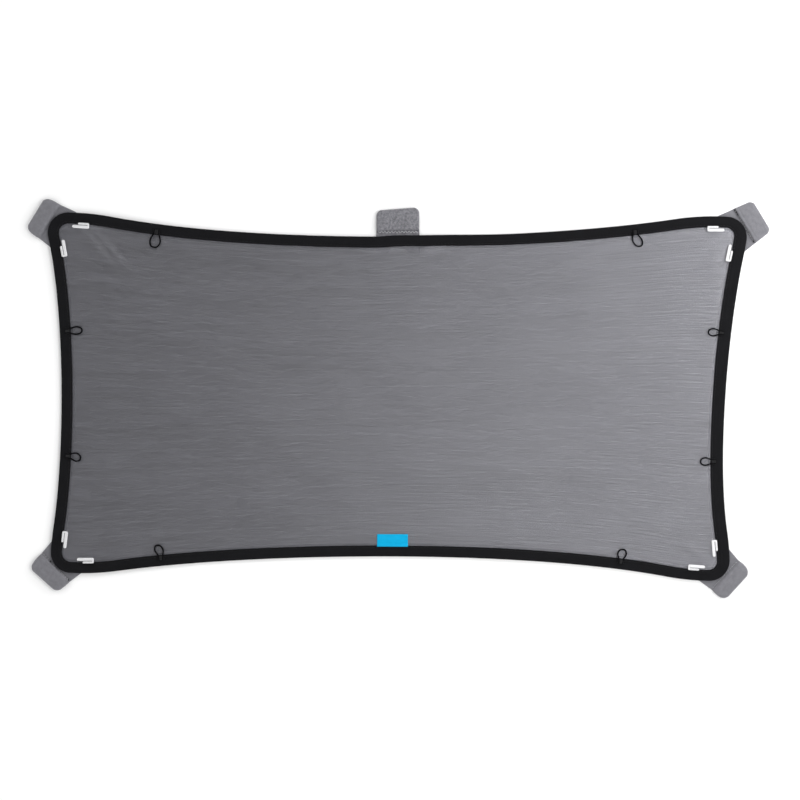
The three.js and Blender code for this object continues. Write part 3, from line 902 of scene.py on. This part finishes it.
class SHADE_OT_stage(ShadeOperator, Operator):
    """Set up the camera straight above the shade, the pale floor and the soft studio light"""

    bl_idname = "shade.stage"
    bl_label = "Stage"

    floor_size = 60.0
    floor_below = 0.0002
    ceiling_starts = (0.6, 0.85)
    aim = (0.1, 0.0, 0.0)

    def execute(self, context):
        _, colours, stage = self.values(context)
        self.add_camera(context, stage)
        self.add_floor(context, colours)
        self.add_world(context, stage)
        self.add_light(context, "Key", stage.key_power, stage.key_place, stage.key_size)
        self.add_light(context, "Gloss", stage.gloss_power, stage.gloss_place, stage.gloss_size)
        context.scene.view_settings.view_transform = "Standard"
        return {"FINISHED"}

    def add_camera(self, context, stage):
        camera = bpy.data.cameras.new("Camera")
        camera.lens = stage.lens
        camera.clip_end = 200.0
        holder = bpy.data.objects.new("Camera", camera)
        x, y, _ = to_row((*VIEW_MIDDLE, 0.0))
        distance = VIEW_WIDTH * MM * camera.lens / camera.sensor_width
        holder.location = (x, y, distance + BINDING_TOP * MM)
        context.scene.collection.objects.link(holder)
        context.scene.camera = holder

    def add_floor(self, context, colours):
        half = self.floor_size / 2
        corners = [(-half, -half), (half, -half), (half, half), (-half, half)]
        mesh = bpy.data.meshes.new("floor")
        mesh.from_pydata([(x, y, -self.floor_below) for x, y in corners], [], [(0, 1, 2, 3)])
        mesh.materials.append(floor_material(colours.floor))
        floor = bpy.data.objects.new("floor", mesh)
        context.scene.collection.objects.link(floor)

    def add_world(self, context, stage):
        """Pale walls all round and a darker ceiling, as a ramp on how far up a direction points."""
        world = bpy.data.worlds.new("Studio")
        world.use_nodes = True
        nodes = Nodes(world.node_tree)
        _, _, up = nodes.split(nodes.add("ShaderNodeTexCoord").outputs["Generated"])
        strength = nodes.between(up, *self.ceiling_starts, stage.walls, stage.ceiling)
        background = world.node_tree.nodes["Background"].inputs
        background["Color"].default_value = (1.0, 1.0, 1.0, 1.0)
        nodes.put(background["Strength"], strength)
        context.scene.world = world

    def add_light(self, context, name, power, place, size):
        lamp = bpy.data.lights.new(name, "AREA")
        lamp.energy = power
        lamp.size = size
        holder = bpy.data.objects.new(name, lamp)
        holder.location = place
        towards = Vector(self.aim) - Vector(place)
        holder.rotation_euler = towards.to_track_quat("-Z", "Y").to_euler()
        holder.visible_camera = False
        context.scene.collection.objects.link(holder)


def each_corner_side():
    """Corner, the side beside it, which of its two values applies, and the piece's name end."""
    for index, corner in enumerate(CORNERS):
        for leaving, side in enumerate(((index + 3) % 4, index)):
            yield corner, side, leaving, f"{corner['name']}_on_{SIDE_NAMES[side]}"


class SHADE_OT_cord_loops(ShadeOperator, Operator):
    """Lay the eight loops of elastic cord over the knit, and tack their ends to the binding"""

    bl_idname = "shade.cord_loops"
    bl_label = "Cord Loops"

    def execute(self, context):
        sizes, colours, _ = self.values(context)
        material = cord_material(colours)
        tacks = Shell()
        for corner, side, leaving, name in each_corner_side():
            loop = corner["loops"][leaving]
            spot = on_side(side, loop["distance"], leaving == 1)
            path = self.smooth_route(set_down(self.route(loop, sizes), spot))
            shell = Shell()
            tube(shell, path, sizes.cord_diameter / MM / 2, 14)
            piece = shell.piece(f"elastic_loop_{name}", material, "cord", f"cord_loop_{name}")
            self.tack(tacks, loop, sizes, spot)
        thread = thread_material("Dark thread", colours.dark_thread)
        tacks.piece("loop_tacks", thread, "cord")
        return {"FINISHED"}

    def route(self, loop, sizes):
        """Points that the loop goes through, in its own frame, from one sewn end to the other."""
        reach, width, skew = loop["reach"], loop["width"], loop["skew"]
        radius = sizes.cord_diameter / MM / 2
        on_binding = BINDING_TOP + CLEARANCE + radius
        on_knit = KNIT_TOP + CLEARANCE + radius
        foot = CORD_FOOT_SHARE * width / 2
        half = [
            (foot, -CORD_SEWN_LENGTH, on_binding),
            (foot, -CORD_SEWN_LENGTH / 2, on_binding),
            (foot + (width / 2 - foot) * 0.4, radius, on_binding),
            (width / 2, 0.45 * reach, (on_binding + on_knit) / 2),
            (width * 0.47, 0.7 * reach, on_knit),
            (width * 0.28, 0.94 * reach, on_knit),
        ]
        mirrored = [(-x, y, z) for x, y, z in reversed(half)]
        points = np.array([*half, (0, reach, on_knit), *mirrored])
        points[:, 0] += skew * np.maximum(0, points[:, 1]) / reach
        return points

    def smooth_route(self, points, steps=7):
        """A smooth curve through the points: centripetal Catmull and Rom spans, chord by chord."""
        ends = (2 * points[:1] - points[1:2], 2 * points[-1:] - points[-2:-1])
        p = np.concatenate([ends[0], points, ends[1]])
        knots = np.concatenate([[0], np.cumsum(np.linalg.norm(np.diff(p, axis=0), axis=1) ** 0.5)])
        made = []
        for i in range(1, len(p) - 2):
            t0, t1, t2, t3 = knots[i - 1 : i + 3]
            t = np.linspace(t1, t2, steps, endpoint=False)[:, None]
            a1 = (t1 - t) / (t1 - t0) * p[i - 1] + (t - t0) / (t1 - t0) * p[i]
            a2 = (t2 - t) / (t2 - t1) * p[i] + (t - t1) / (t2 - t1) * p[i + 1]
            a3 = (t3 - t) / (t3 - t2) * p[i + 1] + (t - t2) / (t3 - t2) * p[i + 2]
            b1 = (t2 - t) / (t2 - t0) * a1 + (t - t0) / (t2 - t0) * a2
            b2 = (t3 - t) / (t3 - t1) * a2 + (t - t1) / (t3 - t1) * a3
            made.append((t2 - t) / (t2 - t1) * b1 + (t - t1) / (t2 - t1) * b2)
        return np.concatenate([*made, p[-2:-1]])

    def tack(self, shell, loop, sizes, spot):
        """Close stitches that cross both of the loop's feet on the binding."""
        half = CORD_FOOT_SHARE * loop["width"] / 2 + 1.7
        rows = np.linspace(-CORD_SEWN_LENGTH + 0.3, -1.1, sizes.tack_stitches)
        slant = 0.32
        level = BINDING_TOP + 0.02
        starts = row(-half, rows, level)
        ends = starts * (-1, 1, 1) + (0, slant, 0)
        starts[1::2], ends[1::2] = starts[1::2] + (0, slant, 0), ends[1::2] - (0, slant, 0)
        rise = sizes.cord_diameter / MM + CLEARANCE + 0.1
        sew_down(shell, starts, ends, spot, rise, sizes.thread_radius / MM, stations=11)


class SHADE_OT_screen(ShadeOperator, Operator):
    """Stretch the open knit inside the binding, with its courses, ripples and creases"""

    bl_idname = "shade.screen"
    bl_label = "Mesh Screen"

    columns = 112
    rows_per_band = 4
    arc_steps = 32
    side_steps = 200

    def execute(self, context):
        sizes, colours, _ = self.values(context)
        top, cloth, area = self.surface()
        bottom = top.copy()
        bottom[..., 2] -= sizes.knit_thickness / MM
        shell = Shell()
        slab(shell, top, bottom, cloth)
        knit = knit_material(colours, sizes)
        screen = shell.piece("knit_screen", knit, "knit", "mesh_screen")
        return {"FINISHED"}

    def surface(self):
        """The knit's upper face, its cloth coordinates in metres and its flat area.

        A point is the blend of the four boundary curves that share its place: the two across
        it, plus the two beside it, less the corners. Its height is the level of the knit, plus
        how the cloth lies, less a shallow groove between two bands of courses."""
        at, inwards, _ = edge_rows(self.arc_steps, self.side_steps)
        ring = stepped(at) + inwards * (FOLD_THICKNESS + CLEARANCE)
        quarter = self.arc_steps + self.side_steps
        spans = []
        for index in range(4):
            picked = index * quarter + self.arc_steps // 2 + np.arange(quarter + 1)
            spans.append(ring[picked % len(ring)])
        bottom, right, top, left = spans
        bands = int(round(PANEL[1] / COURSE_BAND))
        rows = bands * self.rows_per_band + 1
        u = np.linspace(0, 1, self.columns + 1)
        v = np.linspace(0, 1, rows)
        low, high = self.along(bottom, u), self.along(top[::-1], u)
        first, last = self.along(left[::-1], v), self.along(right, v)
        u, v = u[None, :, None], v[:, None, None]
        across = (1 - v) * low + v * high + (1 - u) * first[:, None] + u * last[:, None]
        corners = (1 - u) * (1 - v) * low[0] + u * (1 - v) * low[-1]
        corners = corners + (1 - u) * v * high[0] + u * v * high[-1]
        flat = across - corners
        groove = COURSE_DEPTH * (0.5 + 0.5 * np.cos(2 * np.pi * bands * v[..., 0]))
        height = KNIT_TOP + lay(flat) - groove
        size = (PANEL - 2 * FOLD_THICKNESS) * MM
        cloth = np.concatenate([u * size[0] + 0 * v, v * size[1] + 0 * u], -1)
        x, y = ring[:, 0], ring[:, 1]
        area = abs(np.sum(x * np.roll(y, -1) - y * np.roll(x, -1))) / 2
        return np.concatenate([flat, height[..., None]], -1), cloth, area

    def along(self, curve, shares):
        run = run_along(curve)
        return np.stack([np.interp(shares * run[-1], run, curve[:, axis]) for axis in (0, 1)], -1)


class SHADE_OT_binding(ShadeOperator, Operator):
    """Fold the elastic tape over the knit's edge and sew it down with a row of stitches"""

    bl_idname = "shade.binding"
    bl_label = "Edge Binding"

    arc_steps = 26
    side_steps = 150
    top_steps = 46
    back_steps = 12
    fold_steps = 9
    stitch_inset = 1.7
    stitch_share = 0.78

    def execute(self, context):
        sizes, colours, _ = self.values(context)
        at, inwards, width = edge_rows(self.arc_steps, self.side_steps)
        at = stepped(at)
        run = run_along(at)
        inset, height = self.section(width, run)
        flat = at + inset[..., None] * inwards
        points = np.concatenate([flat, (height + lay(at))[..., None]], -1)
        across = run_along(points[:, 0])
        around = np.append(run, run[-1] + np.linalg.norm(at[-1] - at[0]))
        spread = np.append(across, across[-1] + TAPE_THICKNESS)
        cloth = np.stack(np.meshgrid(around, spread, indexing="xy"), -1) * MM
        shell = Shell()
        shell.grid(points, cloth, wrap_rows=True, wrap_columns=True)
        shell.piece("binding_tape", tape_material(colours, sizes), "tape", "edge_binding")
        self.sew(sizes, colours, at, inwards, width)
        return {"FINISHED"}

    def section(self, width, run):
        """The tape's folded section at each place round the edge: inset and height.

        The upper face is flat with ribs, and dips along its stitches. The fold is half a
        circle. The lower face is a little wider, and a slot between the two takes the knit."""
        middle = (BINDING_BOTTOM + BINDING_TOP) / 2
        half = (BINDING_TOP - BINDING_BOTTOM) / 2
        lip = TAPE_THICKNESS / 2
        w = width[None]
        down = np.linspace(0, np.pi, 5)[:, None]
        top_lip_in = w - lip * (1 - np.sin(down)) * 0.6
        top_lip_z = SLOT_TOP + lip - lip * np.cos(down) + 0 * w
        share = np.linspace(0, 1, self.top_steps)[:, None]
        top_in = blend_between(w - lip, half, share)
        ribs = 0.05 * np.cos(2 * np.pi * (w - top_in) / 1.05)
        dip = 0.22 * np.exp(-(((w - top_in - self.stitch_inset) / 0.8) ** 2))
        crown = 0.12 * np.sin(np.pi * np.clip((w - top_in) / w, 0, 1))
        near_seam = np.exp(-(((w - top_in - self.stitch_inset) / 1.6) ** 2))
        puckers = 0.05 * np.sin(run[None] / 1.9) * near_seam
        ends = np.sin(np.pi * (0.04 + 0.92 * share)) ** 0.3
        top_z = BINDING_TOP + (ribs - dip + crown + puckers) * ends
        bend = np.linspace(0, np.pi, self.fold_steps)[1:-1, None]
        fold_in = half * (1 - np.sin(bend)) + 0 * w
        fold_z = middle + half * np.cos(bend) + 0 * w
        share = np.linspace(0, 1, self.back_steps)[:, None]
        back_in = blend_between(half, w + BACK_LAYER_EXTRA - lip, share)
        back_z = BINDING_BOTTOM + 0 * back_in
        back_lip_in = w + BACK_LAYER_EXTRA - lip * (1 - np.sin(down[::-1])) * 0.6
        back_lip_z = BINDING_BOTTOM + lip - lip * np.cos(down) + 0 * w
        slot_end = FOLD_THICKNESS + 0 * w
        slot_in = np.concatenate([w + 0.4 * BACK_LAYER_EXTRA, slot_end, slot_end, w - lip])
        slot_z = np.array([SLOT_BOTTOM, SLOT_BOTTOM, SLOT_TOP, SLOT_TOP])[:, None] + 0 * w
        inset = np.concatenate([top_lip_in, top_in, fold_in, back_in, back_lip_in, slot_in])
        height = np.concatenate([top_lip_z, top_z, fold_z, back_z, back_lip_z, slot_z])
        return inset, height

    def sew(self, sizes, colours, at, inwards, width):
        """One row of lock stitches near the inner edge, above and below."""
        line = at + inwards * (width - self.stitch_inset)[:, None]
        closed = np.concatenate([line, line[:1]])
        run = run_along(closed)
        count = int(run[-1] / (sizes.stitch_length / MM))
        begin = np.arange(count) / count * run[-1]
        finish = begin + self.stitch_share * run[-1] / count
        shell = Shell()
        for level, rise in ((BINDING_TOP - 0.12, 0.16), (BINDING_BOTTOM + 0.05, -0.12)):
            starts, ends = (self.point_at(closed, run, where, level) for where in (begin, finish))
            threads(shell, starts, ends, rise, sizes.thread_radius / MM, stations=5, sides=5)
        thread = thread_material("Binding thread", colours.dark_thread)
        shell.piece("binding_stitching", thread, "tape")

    def point_at(self, closed, run, where, level):
        flat = np.stack([np.interp(where, run, closed[:, axis]) for axis in (0, 1)], -1)
        return np.concatenate([flat, (level + lay(flat))[:, None]], -1)


class SHADE_OT_pouches(ShadeOperator, Operator):
    """Fold and sew the five felt pouches, each over its magnet, with its flap under the binding"""

    bl_idname = "shade.pouches"
    bl_label = "Magnet Pouches"

    stations = 84
    lanes = 64

    def execute(self, context):
        _, colours, _ = self.values(context)
        felt = felt_material(colours)
        plush = felt_material(colours, "Plush felt", clump=0.0018, spread=0.7)
        pale = thread_material("Pale thread", colours.pale_thread)
        dark = thread_material("Seam thread", colours.dark_thread)
        for index, corner in enumerate(CORNERS):
            centre, _, _ = corner_arc(index)
            turn = math.radians(corner["pouch"]["turn"])
            spot = (centre, on_circle(turn), turned_left(on_circle(turn)))
            form = {
                **corner["pouch"],
                **corner["seam"],
                "reach": CORNER_RADIUS + corner["pouch"]["standout"],
                "seam": CORNER_RADIUS + SEAM_FROM_BINDING,
                "end_width": CORNER_POUCH_WIDTH,
                "flare": CORNER_POUCH_FLARE,
                "phase": 1.7 * index,
            }
            name = corner["name"]
            self.pouch(name, form, spot, felt)
            if form["seam_depth"] > 0:
                self.seam_row(name, form, spot, pale)
            if corner["knots"]:
                self.knots(name, form, spot, dark, np.array(corner["knots"]))
        middle = side_at(2, np.array([0.5]))[0][0]
        spot = (middle - (0, CORNER_RADIUS), np.array([0.0, 1.0]), np.array([-1.0, 0.0]))
        reach = CORNER_RADIUS + TOP_POUCH_STANDOUT
        form = {
            "reach": reach,
            "seam": reach - TOP_POUCH_DEPTH,
            "end_width": TOP_POUCH_WIDTH,
            "flare": TOP_POUCH_FLARE,
            "seam_depth": 0.6,
            "rise_run": 1.0,
            "skew": -1.2,
            "bow": 0.3,
            "phase": 9.0,
        }
        self.pouch("top_centre", form, spot, plush)
        self.seam_row("top_centre", form, spot, pale, zigzag=2.2)
        return {"FINISHED"}

    def half_width(self, form, x):
        return form["end_width"] / 2 + (form["reach"] - x) * form["flare"]

    def pouch(self, name, form, spot, material):
        """The pouch's closed surface: an upper and a lower face that meet at its rim.

        x runs outwards from a curved inner end that the binding hides. y is a share t of the
        half width, which widens inwards and is rounded at the outer corners. The height rolls
        from the rim to the full thickness over a short distance, as a quarter ellipse. Full
        thickness is the flap's, then steps up at the seam to the body's, which has the magnet's
        block showing through the felt."""
        t = np.sin(np.pi / 2 * np.linspace(-1, 1, self.lanes))[None]
        s = np.sin(np.pi / 2 * np.linspace(0, 1, self.stations))[:, None]
        x_in = self.inner_end(t * (form["end_width"] / 2 + 2))
        x = x_in + (form["reach"] - x_in) * s
        half = self.half_width(form, x)
        past = np.clip(x - (form["reach"] - POUCH_CORNER_RADIUS), 0, POUCH_CORNER_RADIUS)
        rounding = POUCH_CORNER_RADIUS - np.sqrt(POUCH_CORNER_RADIUS**2 - past**2)
        past_seam = (x - form["seam"]) / (form["reach"] - form["seam"])
        bulge = form["bow"] * np.sin(np.pi * np.clip(past_seam, 0, 1))
        y = t * (half - rounding + bulge)
        slide = form["skew"] * (x - x_in) / (form["reach"] - x_in)
        x_out = x + slide * t
        body = ease(form["seam"] - 0.3, form["seam"] + form["rise_run"], x)
        full = 0.86 + 0.14 * self.over_magnet(form, x, y)
        thick = FLAP_TOP + (POUCH_TOP - FLAP_TOP) * body * full
        groove = form["seam_depth"] * 0.5 * np.exp(-(((x - form["seam"] + 0.4) / 0.45) ** 2))
        wave = 0.12 * np.sin(x / 3.1 + form["phase"]) * np.sin(y / 4.7 + 2 * form["phase"])
        wave = wave + 0.07 * np.sin(x / 1.3 + y / 2.2 + form["phase"])
        edge = np.minimum((1 - np.abs(t)) * half, form["reach"] - x)
        edge = np.minimum(edge, (x - x_in) * 2)
        roll_run = blend_between(0.7, 2.4, body)
        roll = np.sqrt(1 - (1 - np.clip(edge / roll_run, 0, 1)) ** 2)
        rim = 0.38 * thick
        upper = rim + (thick - rim - groove + wave * body) * roll
        lower = rim * (1 - roll)
        cloth = np.stack([x + 0 * t, y], -1) * MM
        shell = Shell()
        for height in (upper, lower):
            local = np.stack([x_out, y, height], -1)
            shell.grid(set_down(local, spot, height=0.0), cloth)
        shell.piece(f"felt_pouch_{name}", material, "felt", f"magnet_pouch_{name}")

    def inner_end(self, y):
        """Where the flap ends under the binding: a circle, then a slanted line, at each y."""
        radius = CORNER_RADIUS - BINDING_WIDTHS[0] + FLAP_HIDDEN
        slant = math.radians(50)
        on_arc = np.sqrt(np.clip(radius**2 - y**2, 0, None))
        on_line = (radius - np.abs(y) * math.sin(slant)) / math.cos(slant)
        end = np.where(np.abs(y) < radius * math.sin(slant), on_arc, on_line)
        return np.maximum(FLAP_START, end)

    def over_magnet(self, form, x, y):
        """1 over the magnet's block and 0 beyond it, with a soft edge."""
        middle = (form["seam"] + form["reach"]) / 2 + 0.3
        length, width = MAGNET_SIZE[0] / 2, MAGNET_SIZE[1] / 2
        lengthwise = 1 - ease(length - 0.6, length + 1.2, np.abs(x - middle))
        crosswise = 1 - ease(width - 0.6, width + 1.6, np.abs(y))
        return lengthwise * crosswise

    def seam_row(self, name, form, spot, material, zigzag=0.0):
        """A row of stitches across the pouch in its seam, straight or zigzag."""
        x = form["seam"] - 0.5 - zigzag / 2
        half = self.half_width(form, x) - 1.6
        count = int(2 * half / (1.6 if zigzag else 2.6))
        edges = np.linspace(-half, half, count + 1)
        swing = zigzag * (np.arange(count + 1) % 2 - 0.5)
        points = row(x + swing, edges, FLAP_TOP)
        points[:, 2] += 0.1 + 0.25 * (zigzag > 0)
        starts = points[:-1]
        ends = starts + (points[1:] - starts) * (1.0 if zigzag else 0.75)
        shell = Shell()
        sew_down(shell, starts, ends, spot, 0.28, 0.26 if zigzag else 0.15, height=0.0)
        shell.piece(f"pouch_seam_{name}", material, "felt")

    def knots(self, name, form, spot, material, places):
        """Dark thread ends that show where the seam starts and stops."""
        x = form["seam"] - 0.3
        y = places * (self.half_width(form, x) - 0.6)
        starts = row(x - 0.8, y - 0.9, FLAP_TOP + 0.45)
        ends = row(x + 0.5, y + 0.9, FLAP_TOP + 0.6)
        shell = Shell()
        sew_down(shell, starts, ends, spot, 0.5, 0.55, height=0.0, stations=9, sides=8)
        shell.piece(f"pouch_knots_{name}", material, "felt")


class SHADE_OT_hooks(ShadeOperator, Operator):
    """Mould the eight white hooks, two at each corner, and sew their bars to the binding"""

    bl_idname = "shade.hooks"
    bl_label = "Hooks"

    rings = 6
    arc_points = 9
    wraps = 3

    def execute(self, context):
        _, colours, _ = self.values(context)
        plastic = plastic_material(colours)
        wrap = thread_material("Hook thread", colours.plastic)
        stitches = Shell()
        for corner, side, leaving, name in each_corner_side():
            spot = on_side(side, corner["hooks"][leaving], leaving == 1)
            height = float(lay(spot[0]))
            shell = Shell()
            self.mould(shell, spot, height)
            shell.piece(f"moulded_hook_{name}", plastic, "plastic", f"hook_{name}")
            self.wrap(stitches, spot, height)
        stitches.piece("hook_stitches", wrap, "plastic")
        return {"FINISHED"}

    def outline(self):
        """The hook seen from above: a bar, a longer prong beside it, joined at the back."""
        back = -HOOK_LENGTH / 2
        bar_edge = -HOOK_ON_BINDING
        bar_end = back + HOOK_BAR_LENGTH - HOOK_BAR_WIDTH / 2
        prong_edge = bar_edge + HOOK_BAR_WIDTH + HOOK_GROOVE
        prong_end = -back - HOOK_PRONG_WIDTH / 2
        far_edge = prong_edge + HOOK_PRONG_WIDTH
        tip = np.linspace(-np.pi / 2, np.pi / 2, self.arc_points)
        bar_tip = (bar_end, bar_edge + HOOK_BAR_WIDTH / 2) + HOOK_BAR_WIDTH / 2 * on_circle(tip)
        half = HOOK_PRONG_WIDTH / 2
        prong_tip = (prong_end, prong_edge + half) + half * on_circle(tip)
        inner = back + HOOK_BAR_WIDTH
        throat = np.linspace(np.pi * 1.5, np.pi / 2, 5)
        throat = (inner, prong_edge - HOOK_GROOVE / 2) + HOOK_GROOVE / 2 * on_circle(throat)
        radius = HOOK_BACK_RADIUS
        turn = np.linspace(np.pi / 2, np.pi, 5)
        far_back = (back + radius, far_edge - radius) + radius * on_circle(turn)
        near_back = (back + radius, bar_edge + radius) + radius * on_circle(turn + np.pi / 2)
        return np.concatenate([bar_tip, throat, prong_tip, far_back, near_back])

    def mould(self, shell, spot, height):
        """A slab on the outline, its edges rolled: each ring is the outline drawn in by a share
        of the rounding, at the height of a quarter circle."""
        outline = self.outline()
        ahead = unit(np.roll(outline, -1, 0) - outline)
        behind = unit(outline - np.roll(outline, 1, 0))
        inwards = turned_left(unit(ahead + behind))
        base = KNIT_TOP + CLEARANCE
        bottom = np.where(outline[:, 1] < HOOK_STEP_IN, BINDING_TOP + CLEARANCE, base)
        top = base + HOOK_THICKNESS
        angle = np.linspace(0, np.pi / 2, self.rings)
        rows = []
        for turn in angle[::-1]:
            drawn = outline + inwards * HOOK_ROUNDING * 0.6 * (1 - math.cos(turn))
            level = bottom + 0.5 * HOOK_ROUNDING * (1 - math.sin(turn))
            rows.append(np.column_stack([drawn, level]))
        for turn in angle:
            drawn = outline + inwards * HOOK_ROUNDING * (1 - math.cos(turn))
            level = np.full(len(outline), top - HOOK_ROUNDING * (1 - math.sin(turn)))
            rows.append(np.column_stack([drawn, level]))
        points = set_down(np.array(rows), spot, height=height)
        index = shell.grid(points, wrap_columns=True)[0]
        blank = np.zeros((len(outline), 2))
        shell.lid(index[0, :-1], blank)
        shell.lid(index[-1, :-1], blank)

    def wrap(self, shell, spot, height):
        """Thread passed over the bar a few times."""
        along = -HOOK_LENGTH / 2 + np.linspace(3.4, HOOK_BAR_LENGTH - 1.8, self.wraps)
        level = BINDING_TOP + 0.1
        near = row(along, -HOOK_ON_BINDING - 0.35, level)
        far = row(along + 0.35, -HOOK_ON_BINDING + HOOK_BAR_WIDTH + 0.3, level)
        rise = HOOK_THICKNESS - 0.35
        sew_down(shell, near, far, spot, rise, 0.26, height=height, stations=15, sides=8)


class SHADE_OT_label(ShadeOperator, Operator):
    """Sew the bare woven label over the binding's inner edge at the bottom"""

    bl_idname = "shade.label"
    bl_label = "Label"

    on_binding = 1.1
    thickness = 0.5
    columns = 60
    rows = 40

    def execute(self, context):
        _, colours, _ = self.values(context)
        _, _, side_length = side_at(0, np.array([0.0]))
        spot = on_side(0, side_length / 2 - LABEL_FROM_MIDDLE, False)
        s = np.linspace(-0.5, 0.5, self.columns)[None]
        t = np.linspace(0, 1, self.rows)[:, None]
        x = LABEL_LENGTH * s + 0 * t
        y = -self.on_binding + (LABEL_HEIGHT + 0.6) * t + 0 * s
        down = ease(-0.4, 1.6, y)
        base = blend_between(BINDING_TOP + CLEARANCE / 2, KNIT_TOP + CLEARANCE / 2, down)
        puff = 0.28 * np.sin(np.pi * np.clip(t, 0, 1)) * (1 - (2 * s) ** 4)
        seam = 0.12 * np.exp(-(((y + self.on_binding - 0.9) / 0.35) ** 2))
        edge = np.minimum(np.minimum(0.5 - np.abs(s), 0.5) * LABEL_LENGTH, (1 - t) * LABEL_HEIGHT)
        roll = np.sqrt(1 - (1 - np.clip(edge / 0.35, 0, 1)) ** 2)
        top = base + puff + self.thickness / 2 + self.thickness / 2 * roll - seam
        bottom = base + puff + self.thickness / 2 - self.thickness / 2 * roll
        cloth = np.stack([x, y], -1) * MM
        upper = set_down(np.stack([x, y, top], -1), spot)
        lower = set_down(np.stack([x, y, bottom], -1), spot)
        shell = Shell()
        slab(shell, upper, lower, cloth)
        shell.piece("woven_label", label_material(colours), "label", "label")
        self.sew(colours, spot)
        return {"FINISHED"}

    def sew(self, colours, spot):
        """A row of small stitches along the label's sewn edge."""
        edges = np.linspace(-LABEL_LENGTH / 2 + 0.8, LABEL_LENGTH / 2 - 0.8, 13)
        level = BINDING_TOP + self.thickness + 0.12
        line = 0.9 - self.on_binding
        points = row(edges, line, level)
        starts = points[:-1]
        ends = starts + (points[1:] - starts) * 0.72
        shell = Shell()
        sew_down(shell, starts, ends, spot, 0.14, 0.13)
        shell.piece("label_stitches", thread_material("Label thread", colours.label), "label")


class SHADE_OT_magnets(ShadeOperator, Operator):
    """Give the magnets inside the pouches their plated finish"""

    bl_idname = "shade.magnets"
    bl_label = "Magnets"

    def execute(self, context):
        plating = magnet_material()
        for name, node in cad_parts.items():
            if name.startswith("magnet_") and "pouch" not in name:
                node.data.materials.clear()
                node.data.materials.append(plating)
        return {"FINISHED"}


class SHADE_PT_panel(Panel):
    """Steps that make the sunshade, in order"""

    bl_idname = "SHADE_PT_panel"
    bl_label = "Window Sunshade"
    bl_space_type = "VIEW_3D"
    bl_region_type = "UI"
    bl_category = "Sunshade"

    def draw(self, context):
        for operator in OPERATORS:
            self.layout.operator(operator.bl_idname)
        for group_name in SETTINGS:
            values = getattr(context.scene, group_name)
            box = self.layout.box()
            for name in values.__annotations__:
                box.prop(values, name)


OPERATORS = (
    SHADE_OT_stage,
    SHADE_OT_cord_loops,
    SHADE_OT_screen,
    SHADE_OT_binding,
    SHADE_OT_pouches,
    SHADE_OT_hooks,
    SHADE_OT_label,
    SHADE_OT_magnets,
)
SETTINGS = {"shade_sizes": ShadeSizes, "shade_colours": ShadeColours, "shade_stage": ShadeStage}


def register():
    for cls in (*SETTINGS.values(), *OPERATORS, SHADE_PT_panel):
        bpy.utils.register_class(cls)
    for name, cls in SETTINGS.items():
        setattr(bpy.types.Scene, name, PointerProperty(type=cls))


def unregister():
    for name in SETTINGS:
        delattr(bpy.types.Scene, name)
    for cls in reversed((*SETTINGS.values(), *OPERATORS, SHADE_PT_panel)):
        bpy.utils.unregister_class(cls)


def main():
    register()
    for operator in OPERATORS:
        family, step = operator.bl_idname.split(".")
        getattr(getattr(bpy.ops, family), step)()


if __name__ == "__main__":
    main()
